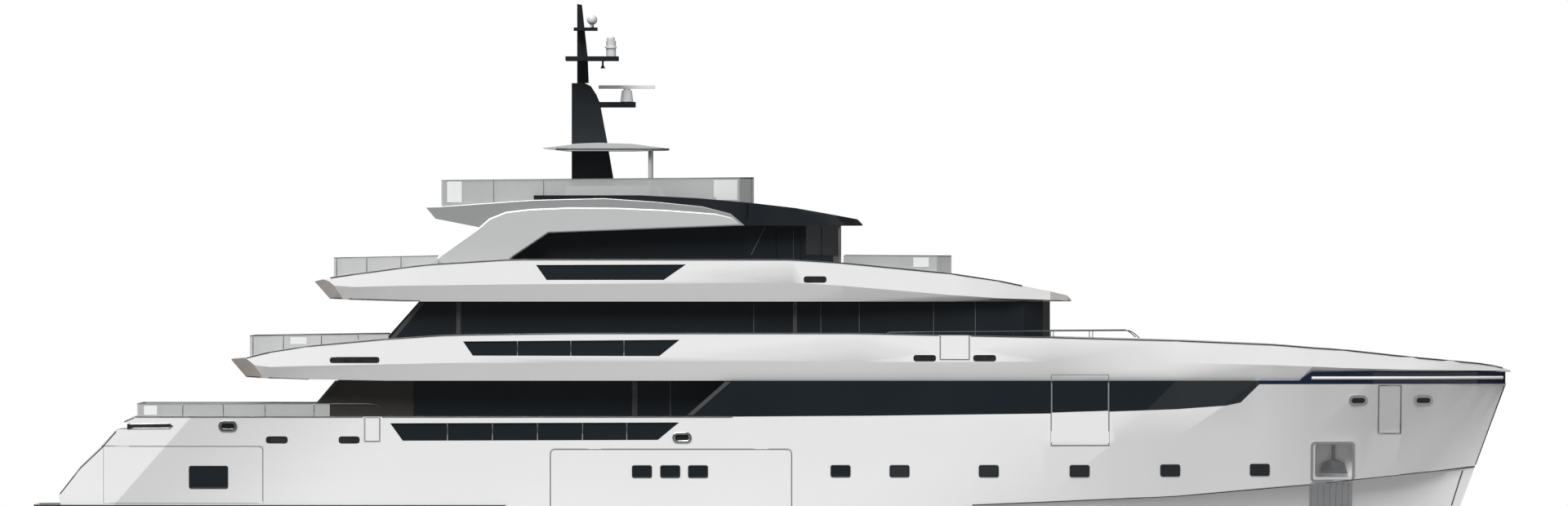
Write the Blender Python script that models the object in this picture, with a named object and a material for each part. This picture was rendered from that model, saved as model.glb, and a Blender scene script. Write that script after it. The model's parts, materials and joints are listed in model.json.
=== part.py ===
# Motor yacht, a 1:2 scale model of a 54 m ship.
# Metres. +X runs to the bow, +Y to port, +Z up, with z = 0 at the waterline, amidships.

import math

import bmesh
import bpy
import numpy as np
from mathutils import Matrix, Vector

# Deck levels and driving sizes
MAIN_DECK = 1.365
UPPER_DECK = 2.82
BRIDGE_DECK = 4.26
BAND_UNDERSIDE = 2.58
BRIDGE_BAND_UNDERSIDE = 4.03
ROOF_UNDERSIDE = 5.4225
PLANK = 0.020  # thickness of the laid decks
WALL = 0.10  # bulwarks and shell doors
GLASS_WALL = 0.06
GATE_WALL = 0.025  # thin, so that a gate swings inward past its far jamb
FIT = 0.0003  # between pieces that rest on each other
SWING = 0.006  # round a door or gate
HINGE_RADIUS = 0.0054  # just under SWING, so that a pin also clears the sill
BEAM_REACH = 3.0  # wider than the ship, for cutters
LOFT_TOP = 2.60
LOFT_BOTTOM = -1.45
BILGE_LEVEL = -0.95
HULL_TOP_FORE = 2.5125
STRAKE_TOP = 0.30

# Hull stations: x at the waterline, rake of the station up to LOFT_TOP, then half-breadths at the
# bilge, under the water, below the knuckle and at the knuckle, the knuckle's level, how far the flare
# is hollowed, and the half-breadth at LOFT_TOP.
HULL_STATIONS = [
    # x, rake, bilge, water, under, knuckle, knuckle_z, hollow, sheer
    (-13.20, 0.00, 1.20, 1.74, 1.80, 1.80, 0.05, 0.00, 1.80),
    (-12.75, 0.00, 1.35, 1.95, 2.02, 2.02, 0.05, 0.00, 2.02),
    (-12.30, 0.00, 1.45, 2.08, 2.14, 2.14, 0.05, 0.00, 2.14),
    (-9.25, 0.00, 1.70, 2.26, 2.31, 2.31, 0.05, 0.00, 2.35),
    (-7.00, 0.00, 1.85, 2.33, 2.37, 2.37, 0.05, 0.00, 2.42),
    (-4.30, 0.00, 1.95, 2.38, 2.41, 2.41, 0.05, 0.00, 2.45),
    (0.55, 0.00, 1.95, 2.36, 2.40, 2.40, 0.05, 0.00, 2.45),
    (3.00, 0.00, 1.78, 2.24, 2.31, 2.34, 0.25, -0.05, 2.45),
    (4.90, 0.00, 1.52, 2.06, 2.17, 2.21, 0.345, -0.11, 2.43),
    (6.30, 0.00, 1.25, 1.85, 2.00, 2.05, 0.41, -0.15, 2.38),
    (7.40, 0.00, 1.00, 1.62, 1.80, 1.86, 0.465, -0.08, 2.31),
    (8.90, 0.00, 0.66, 1.24, 1.45, 1.52, 0.60, 0.04, 2.16),
    (9.80, 0.10, 0.46, 0.97, 1.19, 1.26, 0.675, 0.05, 2.01),
    (10.70, 0.30, 0.25, 0.62, 0.86, 0.92, 0.77, 0.07, 1.71),
    (11.25, 0.50, 0.15, 0.42, 0.64, 0.70, 0.83, 0.08, 1.40),
    (11.70, 0.70, 0.09, 0.26, 0.41, 0.46, 0.88, 0.07, 1.04),
    (12.10, 0.85, 0.05, 0.13, 0.20, 0.24, 0.94, 0.07, 0.62),
    (12.35, 0.93, 0.03, 0.06, 0.09, 0.12, 0.98, 0.04, 0.30),
    (12.55, 0.98, 0.01, 0.012, 0.014, 0.02, 1.005, 0.00, 0.02),
]
KEEL_HALF = 0.04

# Side outline of the hull, as (x, z): up the raked transom, along the sheer, then back along the keel.
TRANSOM = [(-13.05, -0.30), (-13.065, 0.27), (-13.11, 0.48), (-12.705, 1.02), (-12.33, 1.38), (-12.06, 1.68)]
MOORING_SLOT = [(-11.835, 1.69), (-11.835, 1.81), (-11.94, 1.815), (-11.745, 1.92)]
SHEER = [(-0.70, 1.92), (1.70, 1.935), (5.30, 1.98), (7.40, 2.055), (8.30, 2.12), (8.565, 2.175),
         (8.91, HULL_TOP_FORE), (14.5, HULL_TOP_FORE)]
KEEL = [(14.5, 0.0), (12.45, -0.25), (12.22, -0.60), (11.85, -0.92), (11.25, -1.17), (10.40, -1.30),
        (-4.0, -1.30), (-7.0, -1.10), (-10.0, -0.72)]

# Upper band, from the aft tip to the bow: x, top, knuckle, underside, and how far it stands out
# from the hull's sheer.
UPPER_BAND = [
    # x, top, knuckle, underside, stand_out
    (-9.945, 2.975, 2.960, 2.955, -0.55),
    (-9.675, 2.990, 2.880, 2.640, -0.26),
    (-9.225, 3.105, 2.830, 2.618, -0.10),
    (-8.58, 3.210, 2.850, 2.605, -0.02),
    (-7.095, 3.345, 2.880, 2.580, 0.00),
    (-5.955, 3.420, 2.905, 2.580, 0.00),
    (-3.70, 3.450, 2.910, 2.580, 0.00),
    (1.545, 3.450, 2.920, 2.580, 0.00),
    (5.085, 3.375, 2.925, 2.580, 0.00),
    (7.395, 3.315, 2.910, 2.580, 0.01),
    (9.15, 3.240, 2.865, 2.580, 0.02),
    (9.645, 3.203, 2.845, 2.580, 0.02),
    (9.885, 3.180, 2.838, 2.730, 0.02),
    (10.47, 3.143, 2.810, 2.730, 0.02),
    (11.73, 3.005, 2.775, 2.730, 0.03),
    (12.45, 2.940, 2.765, 2.730, 0.03),
    (13.245, 2.865, 2.758, 2.730, 0.03),
    (13.575, 2.760, 2.745, 2.730, 0.02),
]
BAND_CHAMFER = 0.14
BAND_LEAN = 0.03

# Bridge band: x, top, knuckle, underside, half-breadth at the knuckle
BRIDGE_BAND = [
    # x, top, knuckle, underside, half
    (-8.415, 4.400, 4.392, 4.388, 1.65),
    (-8.145, 4.465, 4.330, 4.085, 1.95),
    (-7.70, 4.530, 4.295, 4.055, 2.10),
    (-6.825, 4.650, 4.320, 4.030, 2.18),
    (-6.33, 4.710, 4.325, 4.030, 2.20),
    (-4.77, 4.805, 4.345, 4.030, 2.22),
    (0.345, 4.800, 4.372, 4.030, 2.22),
    (1.26, 4.740, 4.320, 4.030, 2.20),
    (3.255, 4.545, 4.150, 4.030, 2.08),
    (4.14, 4.410, 4.090, 4.030, 1.92),
    (5.085, 4.215, 4.060, 4.030, 1.45),
    (5.40, 4.140, 4.050, 4.030, 1.00),
    (5.475, 4.060, 4.045, 4.030, 0.70),
]

TINTED = (0.012, 0.016, 0.020, 1.0)
WHITE = (0.80, 0.80, 0.80, 1.0)
SILVER = (0.52, 0.53, 0.54, 1.0)
TEAK = (0.42, 0.27, 0.15, 1.0)
STEEL = (0.62, 0.62, 0.62, 1.0)
BRONZE = (0.45, 0.30, 0.12, 1.0)
NAVY = (0.008, 0.014, 0.060, 1.0)
CLEAR_GREY = (0.45, 0.46, 0.47, 1.0)

for old in list(bpy.data.objects):
    bpy.data.objects.remove(old, do_unlink=True)


# Making and joining solids

def paint(obj, colour, roughness, metallic=0.0):
    material = bpy.data.materials.new(obj.name + "_finish")
    material.use_nodes = True
    shader = material.node_tree.nodes["Principled BSDF"]
    shader.inputs["Base Color"].default_value = colour
    shader.inputs["Roughness"].default_value = roughness
    shader.inputs["Metallic"].default_value = metallic
    obj.data.materials.append(material)
    return obj


def solid(name, vertices, faces):
    mesh = bpy.data.meshes.new(name)
    mesh.from_pydata([tuple(v) for v in vertices], [], faces)
    shape = bmesh.new()
    shape.from_mesh(mesh)
    bmesh.ops.recalc_face_normals(shape, faces=shape.faces)
    shape.to_mesh(mesh)
    shape.free()
    obj = bpy.data.objects.new(name, mesh)
    bpy.context.scene.collection.objects.link(obj)
    return obj


def loft(name, rings, curved=False):
    """A closed solid through rings of equal length, capped at both ends.

    A curved loft has its four-sided faces split, the same way on both sides of the ship.
    """
    count = len(rings[0])
    vertices = [point for ring in rings for point in ring]
    faces = []
    for i in range(len(rings) - 1):
        a, b = i * count, (i + 1) * count
        for j in range(count):
            k = (j + 1) % count
            if not curved:
                faces.append((a + j, a + k, b + k, b + j))
            elif j < count // 2:
                faces += [(a + j, a + k, b + k), (a + j, b + k, b + j)]
            else:
                faces += [(a + j, a + k, b + j), (a + k, b + k, b + j)]
    faces.append(tuple(range(count)))
    faces.append(tuple(range(len(vertices) - count, len(vertices))))
    return solid(name, vertices, faces)


def side_prism(name, outline, y_low, y_high):
    """An (x, z) outline carried across the ship."""
    return loft(name, [[(x, y, z) for x, z in outline] for y in (y_low, y_high)])


def plan_prism(name, outline, z_low, z_high):
    """An (x, y) outline carried up."""
    return loft(name, [[(x, y, z) for x, y in outline] for z in (z_low, z_high)])


def block(name, low, high):
    outline = [(low[0], low[1]), (high[0], low[1]), (high[0], high[1]), (low[0], high[1])]
    return plan_prism(name, outline, low[2], high[2])


def rod(name, start, end, radius, sides=16, end_radius=None):
    start, end = Vector(start), Vector(end)
    turn = (end - start).to_track_quat("Z", "Y").to_matrix()
    rings = []
    for centre, size in ((start, radius), (end, radius if end_radius is None else end_radius)):
        angles = [2 * math.pi * i / sides for i in range(sides)]
        rings.append([centre + turn @ Vector((size * math.cos(a), size * math.sin(a), 0)) for a in angles])
    return loft(name, rings)


def ball(name, centre, radius, rings=8, sides=16, squash=1.0):
    mesh = bpy.data.meshes.new(name)
    shape = bmesh.new()
    bmesh.ops.create_uvsphere(shape, u_segments=sides, v_segments=rings, radius=radius)
    bmesh.ops.scale(shape, vec=(1, 1, squash), verts=shape.verts)
    bmesh.ops.translate(shape, vec=centre, verts=shape.verts)
    shape.to_mesh(mesh)
    shape.free()
    obj = bpy.data.objects.new(name, mesh)
    bpy.context.scene.collection.objects.link(obj)
    return obj


def hide(tool):
    tool.hide_render = True
    tool.display_type = "WIRE"


def combine(target, tool, operation):
    hide(tool)
    modifier = target.modifiers.new(operation.title(), "BOOLEAN")
    modifier.operation = operation
    modifier.object = tool
    modifier.solver = "EXACT"


def cut(target, tool):
    combine(target, tool, "DIFFERENCE")


def join(target, tool):
    combine(target, tool, "UNION")


def keep_inside(target, tool):
    combine(target, tool, "INTERSECT")


def put_origin(obj, point):
    """Moves the origin to a joint's axis and leaves the shape where it is."""
    obj.data.transform(Matrix.Translation(-Vector(point)))
    obj.location = point


def rounded(outline, radius, steps=3):
    """The outline with each corner turned into an arc."""
    points = []
    count = len(outline)
    for i in range(count):
        before, here, after = (Vector(outline[(i + k) % count]) for k in (-1, 0, 1))
        back, ahead = (before - here), (after - here)
        reach = min(radius, back.length / 2.2, ahead.length / 2.2)
        start, end = here + back.normalized() * reach, here + ahead.normalized() * reach
        for step in range(steps + 1):
            t = step / steps
            points.append(tuple((1 - t) ** 2 * start + 2 * t * (1 - t) * here + t ** 2 * end))
    return points


def box_outline(a_low, a_high, b_low, b_high):
    return [(a_low, b_low), (a_high, b_low), (a_high, b_high), (a_low, b_high)]


def mirrored_plan(half_outline):
    """A closed plan outline from (x, half-breadth) pairs, aft to fore."""
    return [(x, w) for x, w in half_outline] + [(x, -w) for x, w in reversed(half_outline)]


SIDES = (("port", 1), ("stbd", -1))


def across(sign, inner, outer):
    """Low and high y of a cut on one side."""
    return (inner, outer) if sign > 0 else (-outer, -inner)


def side_cut(target, name, outline, inner, outer=BEAM_REACH):
    for side, sign in SIDES:
        low, high = across(sign, inner, outer)
        cut(target, side_prism(f"{name}_cut_{side}", outline, low, high))


# The hull's surface

def hull_rows(station, inset=0.0):
    """Half-breadth and level of each row of a station, keel to sheer."""
    _, _, bilge, water, under, knuckle, knuckle_z, hollow, sheer = station
    rows = [
        (KEEL_HALF if knuckle > 0.05 else 0.01, LOFT_BOTTOM),
        (bilge, BILGE_LEVEL),
        (water, knuckle_z - 0.25),
        (under, knuckle_z - 0.02),
        (knuckle, knuckle_z),
        ((knuckle + sheer) / 2 - hollow, (knuckle_z + LOFT_TOP) / 2),
        (sheer, LOFT_TOP),
    ]
    return [(max(half - inset, 0.004), z) for half, z in rows]


def hull_rings(inset=0.0):
    rings = []
    for station in HULL_STATIONS:
        x, rake = station[:2]
        half = [(x + rake * z / LOFT_TOP, w, z) for w, z in hull_rows(station, inset)]
        rings.append(half + [(px, -py, pz) for px, py, pz in reversed(half)])
    return rings


def hull_half(x, z):
    """Half-breadth of the hull at any place on its side."""
    xs, halves = [], []
    for station in HULL_STATIONS:
        rows = hull_rows(station)
        xs.append(station[0] + station[1] * z / LOFT_TOP)
        halves.append(np.interp(z, [row[1] for row in rows], [row[0] for row in rows]))
    return float(np.interp(x, xs, halves))


def sheer_half(x):
    return hull_half(x, LOFT_TOP)


def keel_z(x):
    line = sorted([TRANSOM[0]] + KEEL)
    return float(np.interp(x, [p[0] for p in line], [p[1] for p in line]))


def inset(outline, gap):
    """A convex outline drawn in by a gap on every side."""
    middle = sum((Vector(p) for p in outline), Vector((0, 0))) / len(outline)
    lines = []
    for i, here in enumerate(outline):
        a, b = Vector(here), Vector(outline[(i + 1) % len(outline)])
        normal = Vector((-(b - a).y, (b - a).x)).normalized()
        if (middle - a).dot(normal) < 0:
            normal = -normal
        lines.append((a + normal * gap, b - a))
    points = []
    for i, (q, e) in enumerate(lines):
        p, d = lines[i - 1]
        t = ((q - p).x * e.y - (q - p).y * e.x) / (d.x * e.y - d.y * e.x)
        points.append(tuple(p + d * t))
    return points


# Openings in the hull, as side outlines (x, z), and the rooms behind them

BEACH_DOOR = box_outline(-12.28, -9.345, 0.33, 1.38)
GARAGE_DOOR = box_outline(-4.095, 0.345, 0.10, 1.335)
BOARDING_DOOR = box_outline(5.079, 6.1575, 1.38, 2.545)
BOW_GATE = box_outline(11.10, 11.535, 1.59, 2.495)
MAIN_GATE = box_outline(-7.50, -7.20, 1.455, 2.10)
UPPER_GATE = box_outline(3.045, 3.60, 2.955, 3.60)
TRANSOM_DOOR = [(-13.053, 0.366), (-13.09, 0.47), (-12.705, 1.02), (-12.402, 1.309)]
TRANSOM_DOOR_HALF = 1.45
ANCHOR_POCKET = rounded(box_outline(9.945, 10.635, 0.80, 1.41), 0.06)
BULWARK_CUTS = [
    ("freeing_port_aft", rounded(box_outline(-9.30, -8.895, 1.425, 1.56), 0.06)),
    ("freeing_port_fore", rounded(box_outline(-7.965, -7.575, 1.425, 1.56), 0.06)),
    ("bulwark_window", [(-6.79, 1.478), (-2.115, 1.493), (-1.725, 1.815), (-7.02, 1.80)]),
    ("aft_fairlead", rounded(box_outline(-10.12, -9.87, 1.65, 1.80), 0.07)),
    ("fore_fairlead", rounded(box_outline(-1.80, -1.545, 1.47, 1.59), 0.05)),
]
BEACH_ROOM = ((-12.20, -2.0, 0.33), (-9.37, 2.0, 1.27))
GARAGE_ROOM = ((-4.05, -2.30, 0.12), (0.30, 2.30, 1.28))
WELL_ENDS = (-11.55, 8.20)
RUDDER_X = -12.15
SHAFT_Y = 1.05
SHAFT_Z = -1.02
SHAFT_RADIUS = 0.035
STOCK_RADIUS = 0.045
BOSS_END = -8.50
FIN_ROOT = (0.90, 2.052, -0.76)
FIN_DROOP = 0.50


def fin_frame(sign):
    """Root point of a stabiliser fin and the direction of its stock, square to the bilge."""
    root = Vector((FIN_ROOT[0], sign * FIN_ROOT[1], FIN_ROOT[2]))
    return root, Vector((0, sign * math.cos(FIN_DROOP), -math.sin(FIN_DROOP)))


def build_hull():
    hull = loft("hull", hull_rings(), curved=True)
    profile = TRANSOM + MOORING_SLOT + SHEER + KEEL
    keep_inside(hull, side_prism("hull_profile", profile, -BEAM_REACH, BEAM_REACH))
    well = loft("main_deck_well", hull_rings(WALL), curved=True)
    keep_inside(well, block("well_ends", (WELL_ENDS[0], -BEAM_REACH, MAIN_DECK), (WELL_ENDS[1], BEAM_REACH, 4.0)))
    cut(hull, well)
    cut(hull, block("beach_room", *BEACH_ROOM))
    cut(hull, block("garage_room", *GARAGE_ROOM))
    side_cut(hull, "beach_door", BEACH_DOOR, 1.95)
    side_cut(hull, "garage_door", rounded(GARAGE_DOOR, 0.09), 2.25)
    side_cut(hull, "boarding_door", BOARDING_DOOR, 2.2)
    side_cut(hull, "main_gate", MAIN_GATE, 2.1)
    side_cut(hull, "bow_gate", BOW_GATE, 0.62)
    low, high = TRANSOM_DOOR[0][1] - SWING, TRANSOM_DOOR[-1][1] + SWING
    reach = TRANSOM_DOOR_HALF + SWING
    cut(hull, block("transom_opening", (-13.4, -reach, low), (-12.1, reach, high)))
    for name, outline in BULWARK_CUTS:
        side_cut(hull, name, outline, 2.1)
    side_cut(hull, "anchor_pocket", ANCHOR_POCKET, 0.85, 2.4)
    for side, sign in SIDES:
        y = sign * SHAFT_Y
        cut(hull, rod(f"rudder_trunk_{side}", (RUDDER_X, y, -1.2), (RUDDER_X, y, -0.20), STOCK_RADIUS + 0.001, 24))
        root, out = fin_frame(sign)
        cut(hull, rod(f"fin_socket_{side}", root + out * 0.3, root - out * 0.2, STOCK_RADIUS + 0.001, 24))
        join(hull, rod(f"shaft_boss_{side}", (-7.4, y, SHAFT_Z), (BOSS_END, y, SHAFT_Z), 0.07, 16))
    return paint(hull, WHITE, 0.18)


# Shell doors, cut from the same surface as the hull

def hinge_pins(door, start, end, length=0.10):
    """Short pins along the axis, out of the door's ends to the jambs, which stand square to X or Y."""
    start, end = Vector(start), Vector(end)
    along = (end - start).normalized()
    slant = math.sqrt(max(0.0, 1 - max(abs(along.x), abs(along.y)) ** 2))
    reach = SWING - FIT - HINGE_RADIUS * slant
    for name, tip, inward in (("first", start, along), ("last", end, -along)):
        join(door, rod(f"{door.name}_{name}_pin", tip - inward * reach, tip + inward * length, HINGE_RADIUS, 12))


def shell_door(name, outline, sign, inner, thickness, corner=0.0):
    door = loft(name, hull_rings(), curved=True)
    shrunk = inset(outline, SWING)
    if corner:
        shrunk = rounded(shrunk, corner)
    low, high = across(sign, inner, BEAM_REACH)
    keep_inside(door, side_prism(f"{name}_edge", shrunk, low, high))
    cut(door, loft(f"{name}_back", hull_rings(thickness), curved=True))
    return paint(door, WHITE, 0.18)


def hinged_along(name, outline, sign, inner, thickness, level, corner=0.0):
    """A shell door whose axis lies along its outer top or bottom edge."""
    door = shell_door(name, outline, sign, inner, thickness, corner)
    x_aft, x_fore = outline[0][0] + SWING, outline[1][0] - SWING
    start = (x_aft, sign * hull_half(x_aft, level), level)
    end = (x_fore, sign * hull_half(x_fore, level), level)
    if not corner:
        hinge_pins(door, start, end)
    put_origin(door, start)
    return door


def ease_fore_edge(door, outline, sign):
    """Bevels the fore edge square to the axis, since the door moves forward as it folds out."""
    x = outline[1][0] - SWING
    low, high = outline[0][1] + SWING, outline[2][1] - SWING
    x_aft = outline[0][0] + SWING
    slope = (hull_half(x_aft, low) - hull_half(x, low)) / (x - x_aft)
    rings = []
    for z in (low - 0.1, high + 0.1):
        edge = np.interp(z, (low, high), (hull_half(x, low), hull_half(x, high)))
        rings.append([(x - 0.3 * slope, sign * (edge - 0.3), z), (x + 0.3 * slope, sign * (edge + 0.3), z),
                      (x + 1, sign * (edge + 0.3), z), (x + 1, sign * (edge - 0.3), z)])
    cut(door, loft(f"{door.name}_bevel", rings))


def build_shell_doors():
    for side, sign in SIDES:
        hinged_along(f"beach_door_{side}", BEACH_DOOR, sign, 1.9, 0.08, BEACH_DOOR[0][1] + SWING)
        bow_gate = hinged_along(f"bow_gate_{side}", BOW_GATE, sign, 0.6, 0.06, BOW_GATE[0][1] + SWING)
        ease_fore_edge(bow_gate, BOW_GATE, sign)

        garage = shell_door(f"garage_door_{side}", GARAGE_DOOR, sign, 2.1, 0.08, 0.08)
        head = GARAGE_DOOR[2][1] - SWING
        y = sign * hull_half(-1.8, head)
        for x in (-3.4, -0.35):
            lug = rod(f"garage_hinge_{side}_{x}", (x, y, head), (x + 0.25, y, head), HINGE_RADIUS, 12)
            join(garage, lug)
        put_origin(garage, (GARAGE_DOOR[0][0] + SWING, y, head))

        boarding = shell_door(f"boarding_door_{side}", BOARDING_DOOR, sign, 2.1, 0.08)
        x, low = BOARDING_DOOR[0][0] + SWING, BOARDING_DOOR[0][1] + SWING
        y = sign * (hull_half(x, 2.5) - 0.02)
        join(boarding, rod(f"boarding_pin_{side}", (x + 0.01, y, low - SWING + FIT), (x + 0.01, y, low + 0.1), 0.01, 12))
        put_origin(boarding, (x, sign * hull_half(x, 2.5), low))

        gate = shell_door(f"main_gate_{side}", MAIN_GATE, sign, 2.1, GATE_WALL)
        keep_inside(gate, block(f"main_gate_top_{side}", (-8, -3, 1.0), (-6, 3, 1.92)))
        x, low = MAIN_GATE[1][0] - SWING, MAIN_GATE[0][1] + SWING
        y = sign * (hull_half(x, 1.6) - GATE_WALL)
        join(gate, rod(f"main_gate_pin_{side}", (x, y, low - SWING + FIT), (x, y, low + 0.1), HINGE_RADIUS, 12))
        put_origin(gate, (x, y, low))

    outer = TRANSOM_DOOR
    back = [(x + 0.07, z) for x, z in reversed(outer)]
    door = side_prism("transom_door", outer + back, -TRANSOM_DOOR_HALF, TRANSOM_DOOR_HALF)
    head = outer[-1]
    hinge_pins(door, (head[0], -TRANSOM_DOOR_HALF, head[1] - 0.012), (head[0], TRANSOM_DOOR_HALF, head[1] - 0.012))
    put_origin(door, (head[0], 0, head[1] - 0.012))
    paint(door, WHITE, 0.18)


# Swim platform with the strakes that run forward from it

def build_platform():
    xs = (-13.05, -12.75, -12.30, -9.25, -7.0, -4.9)
    inner = [(x, hull_half(x, STRAKE_TOP) - 0.10) for x in xs]
    outer = [(-13.575, 1.55), (-13.45, 1.80)] + [(x, hull_half(x, STRAKE_TOP) + 0.055) for x in xs]
    port = outer + list(reversed(inner))
    outline = port + [(x, -y) for x, y in reversed(port)]
    platform = plan_prism("swim_platform", outline, 0.14, STRAKE_TOP)
    berth = loft("platform_berth", hull_rings(-FIT), curved=True)
    keep_inside(berth, block("platform_berth_ends", (-13.073, -BEAM_REACH, -1.0), (0.0, BEAM_REACH, 1.0)))
    cut(platform, berth)
    # the strakes are shallower than the platform
    for side, sign in SIDES:
        low, high = across(sign, 1.0, BEAM_REACH)
        cut(platform, block(f"strake_foot_{side}", (-12.9, low, 0.0), (-4.0, high, 0.24)))
    paint(platform, TINTED, 0.35)


# Decks and bands

def band_rings(table, half_of):
    rings = []
    for row in table:
        x, top, knuckle, underside = row[:4]
        half = half_of(row)
        foot = half - min(BAND_CHAMFER, half * 0.25)
        lip = half - min(BAND_LEAN, half * 0.1)
        side = [(x, foot, underside), (x, half, knuckle), (x, lip, top)]
        rings.append(side + [(px, -py, pz) for px, py, pz in reversed(side)])
    return rings


def upper_half(row):
    return max(sheer_half(row[0]) + row[4], 0.03)


def bridge_half(row):
    return row[4]


def half_along(table, half_of, x):
    return float(np.interp(x, [row[0] for row in table], [half_of(row) for row in table]))


def top_along(table, x):
    return float(np.interp(x, [row[0] for row in table], [row[1] for row in table]))


UPPER_WELL = (-9.35, -8.58, -7.095, -3.7, 1.545, 5.085, 7.395, 9.15, 10.47, 11.73, 12.45, 12.90)
BRIDGE_WELL = (-7.80, -6.825, -4.77, 0.345, 1.26, 2.60, 3.10)
PARAPET = 0.11


def well_plan(table, half_of, xs, gap=0.0):
    plan = [(x, half_along(table, half_of, x) - PARAPET - gap) for x in xs]
    plan[0] = (plan[0][0] + gap, plan[0][1])
    plan[-1] = (plan[-1][0] - gap, plan[-1][1] - 0.2 if half_of is bridge_half else plan[-1][1])
    return mirrored_plan(plan)


UPPER_WINDOW = [(-5.505, 3.038), (-2.09, 3.03), (-1.716, 3.33), (-5.685, 3.30)]
BRIDGE_WINDOW = [(-4.155, 4.425), (-2.01, 4.425), (-1.60, 4.71), (-4.35, 4.70)]


def build_bands():
    upper = loft("upper_band", band_rings(UPPER_BAND, upper_half), curved=True)
    cut(upper, plan_prism("upper_well", well_plan(UPPER_BAND, upper_half, UPPER_WELL), UPPER_DECK, 5.0))
    side_cut(upper, "upper_window", UPPER_WINDOW, 2.1)
    side_cut(upper, "upper_gate", UPPER_GATE, 2.1)
    for name, x_low, x_high in (("aft", 2.565, 2.979), ("fore", 3.66, 4.08)):
        side_cut(upper, f"upper_slot_{name}", rounded(box_outline(x_low, x_high, 2.931, 3.051), 0.05), 2.1)
    side_cut(upper, "upper_aft_slot", rounded(box_outline(-8.13, -7.215, 2.90, 3.015), 0.05), 2.1)
    paint(upper, WHITE, 0.18)

    bridge = loft("bridge_band", band_rings(BRIDGE_BAND, bridge_half), curved=True)
    cut(bridge, plan_prism("bridge_well", well_plan(BRIDGE_BAND, bridge_half, BRIDGE_WELL), BRIDGE_DECK, 6.0))
    side_cut(bridge, "bridge_window", BRIDGE_WINDOW, 1.9)
    side_cut(bridge, "bridge_slot", rounded(box_outline(0.555, 0.975, 4.373, 4.493), 0.05), 1.9)
    paint(bridge, WHITE, 0.18)

    for side, sign in SIDES:
        gate = loft(f"upper_gate_{side}", band_rings(UPPER_BAND, upper_half), curved=True)
        middle = (UPPER_GATE[0][0] + UPPER_GATE[1][0]) / 2
        back = half_along(UPPER_BAND, upper_half, middle) - BAND_LEAN - GATE_WALL
        low, high = across(sign, back, BEAM_REACH)
        keep_inside(gate, side_prism(f"upper_gate_edge_{side}", inset(UPPER_GATE, SWING), low, high))
        x, foot = UPPER_GATE[1][0] - SWING, UPPER_GATE[0][1] + SWING
        pin = rod(f"upper_gate_pin_{side}", (x, sign * back, foot - SWING + FIT), (x, sign * back, foot + 0.1),
                  HINGE_RADIUS, 12)
        join(gate, pin)
        put_origin(gate, (x, sign * back, foot))
        paint(gate, WHITE, 0.18)


def build_decks():
    main = loft("main_deck", hull_rings(WALL + FIT), curved=True)
    ends = (WELL_ENDS[0] + FIT, WELL_ENDS[1] - FIT)
    slab = block("main_deck_slab", (ends[0], -BEAM_REACH, MAIN_DECK + FIT), (ends[1], BEAM_REACH, MAIN_DECK + PLANK))
    keep_inside(main, slab)
    paint(main, TEAK, 0.6)
    for name, table, half_of, xs, level in (
        ("upper_deck", UPPER_BAND, upper_half, UPPER_WELL, UPPER_DECK),
        ("bridge_deck", BRIDGE_BAND, bridge_half, BRIDGE_WELL, BRIDGE_DECK),
    ):
        paint(plan_prism(name, well_plan(table, half_of, xs, FIT), level + FIT, level + PLANK), TEAK, 0.6)


# Deckhouses: open shells of dark glass, between one deck and the underside of the next

def shell_plan(plan, wall):
    """The plan drawn in by the wall, ends as well."""
    return [(plan[0][0] + wall, plan[0][1] - wall)] + [
        (x - (wall if w < plan[1][1] else 0), w - wall) for x, w in plan[1:]
    ]


def house(name, plan, low, high, door_half, door_top):
    shell = plan_prism(name, mirrored_plan(plan), low, high)
    cut(shell, plan_prism(f"{name}_room", mirrored_plan(shell_plan(plan, GLASS_WALL)), low - 1, high + 1))
    aft = plan[0][0]
    cut(shell, block(f"{name}_doorway", (aft - 0.1, -door_half, low - 1), (aft + 0.1, door_half, door_top)))
    return paint(shell, TINTED, 0.08)


def fins(shell, outline, half):
    for side, sign in SIDES:
        low, high = across(sign, half - GLASS_WALL, half)
        join(shell, side_prism(f"{shell.name}_fin_{side}", outline, low, high))


def sliding_doors(name, aft, low, door_half, door_top):
    """Two leaves behind the aft wall, standing on their runners."""
    x = aft + GLASS_WALL + SWING
    for side, sign in SIDES:
        y_low, y_high = sorted((sign * 0.003, sign * (door_half + 0.04)))
        leaf = block(f"{name}_door_{side}", (x, y_low, low + SWING), (x + 0.03, y_high, door_top + 0.03))
        for spot in (0.15, door_half - 0.15):
            y0, y1 = sorted((sign * spot, sign * (spot + 0.06)))
            foot = block(f"{name}_foot_{side}_{spot}", (x + 0.005, y0, low), (x + 0.025, y1, low + 0.03))
            join(leaf, foot)
        put_origin(leaf, (x, sign * 0.003, low))
        paint(leaf, TINTED, 0.08)


MAIN_FLOOR = MAIN_DECK + PLANK + FIT
UPPER_FLOOR = UPPER_DECK + PLANK + FIT
BRIDGE_FLOOR = BRIDGE_DECK + PLANK + FIT
MAIN_CEILING = BAND_UNDERSIDE - FIT
UPPER_CEILING = BRIDGE_BAND_UNDERSIDE - FIT
BRIDGE_CEILING = ROOF_UNDERSIDE - FIT
HOUSES = [
    # name, plan, floor, ceiling, half of the doorway, top of the doorway
    ("main_saloon", [(-6.60, 1.75), (-0.90, 1.75)], MAIN_FLOOR, MAIN_CEILING, 0.80, 2.46),
    ("upper_house", [(-6.48, 1.72), (3.90, 1.72), (4.60, 1.60), (4.95, 1.25), (5.085, 0.80)],
     UPPER_FLOOR, UPPER_CEILING, 0.80, 3.90),
    ("bridge_house", [(-4.125, 1.60), (0.60, 1.60), (1.10, 1.30), (1.245, 0.80)],
     BRIDGE_FLOOR, BRIDGE_CEILING, 0.60, 5.30),
]
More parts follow.
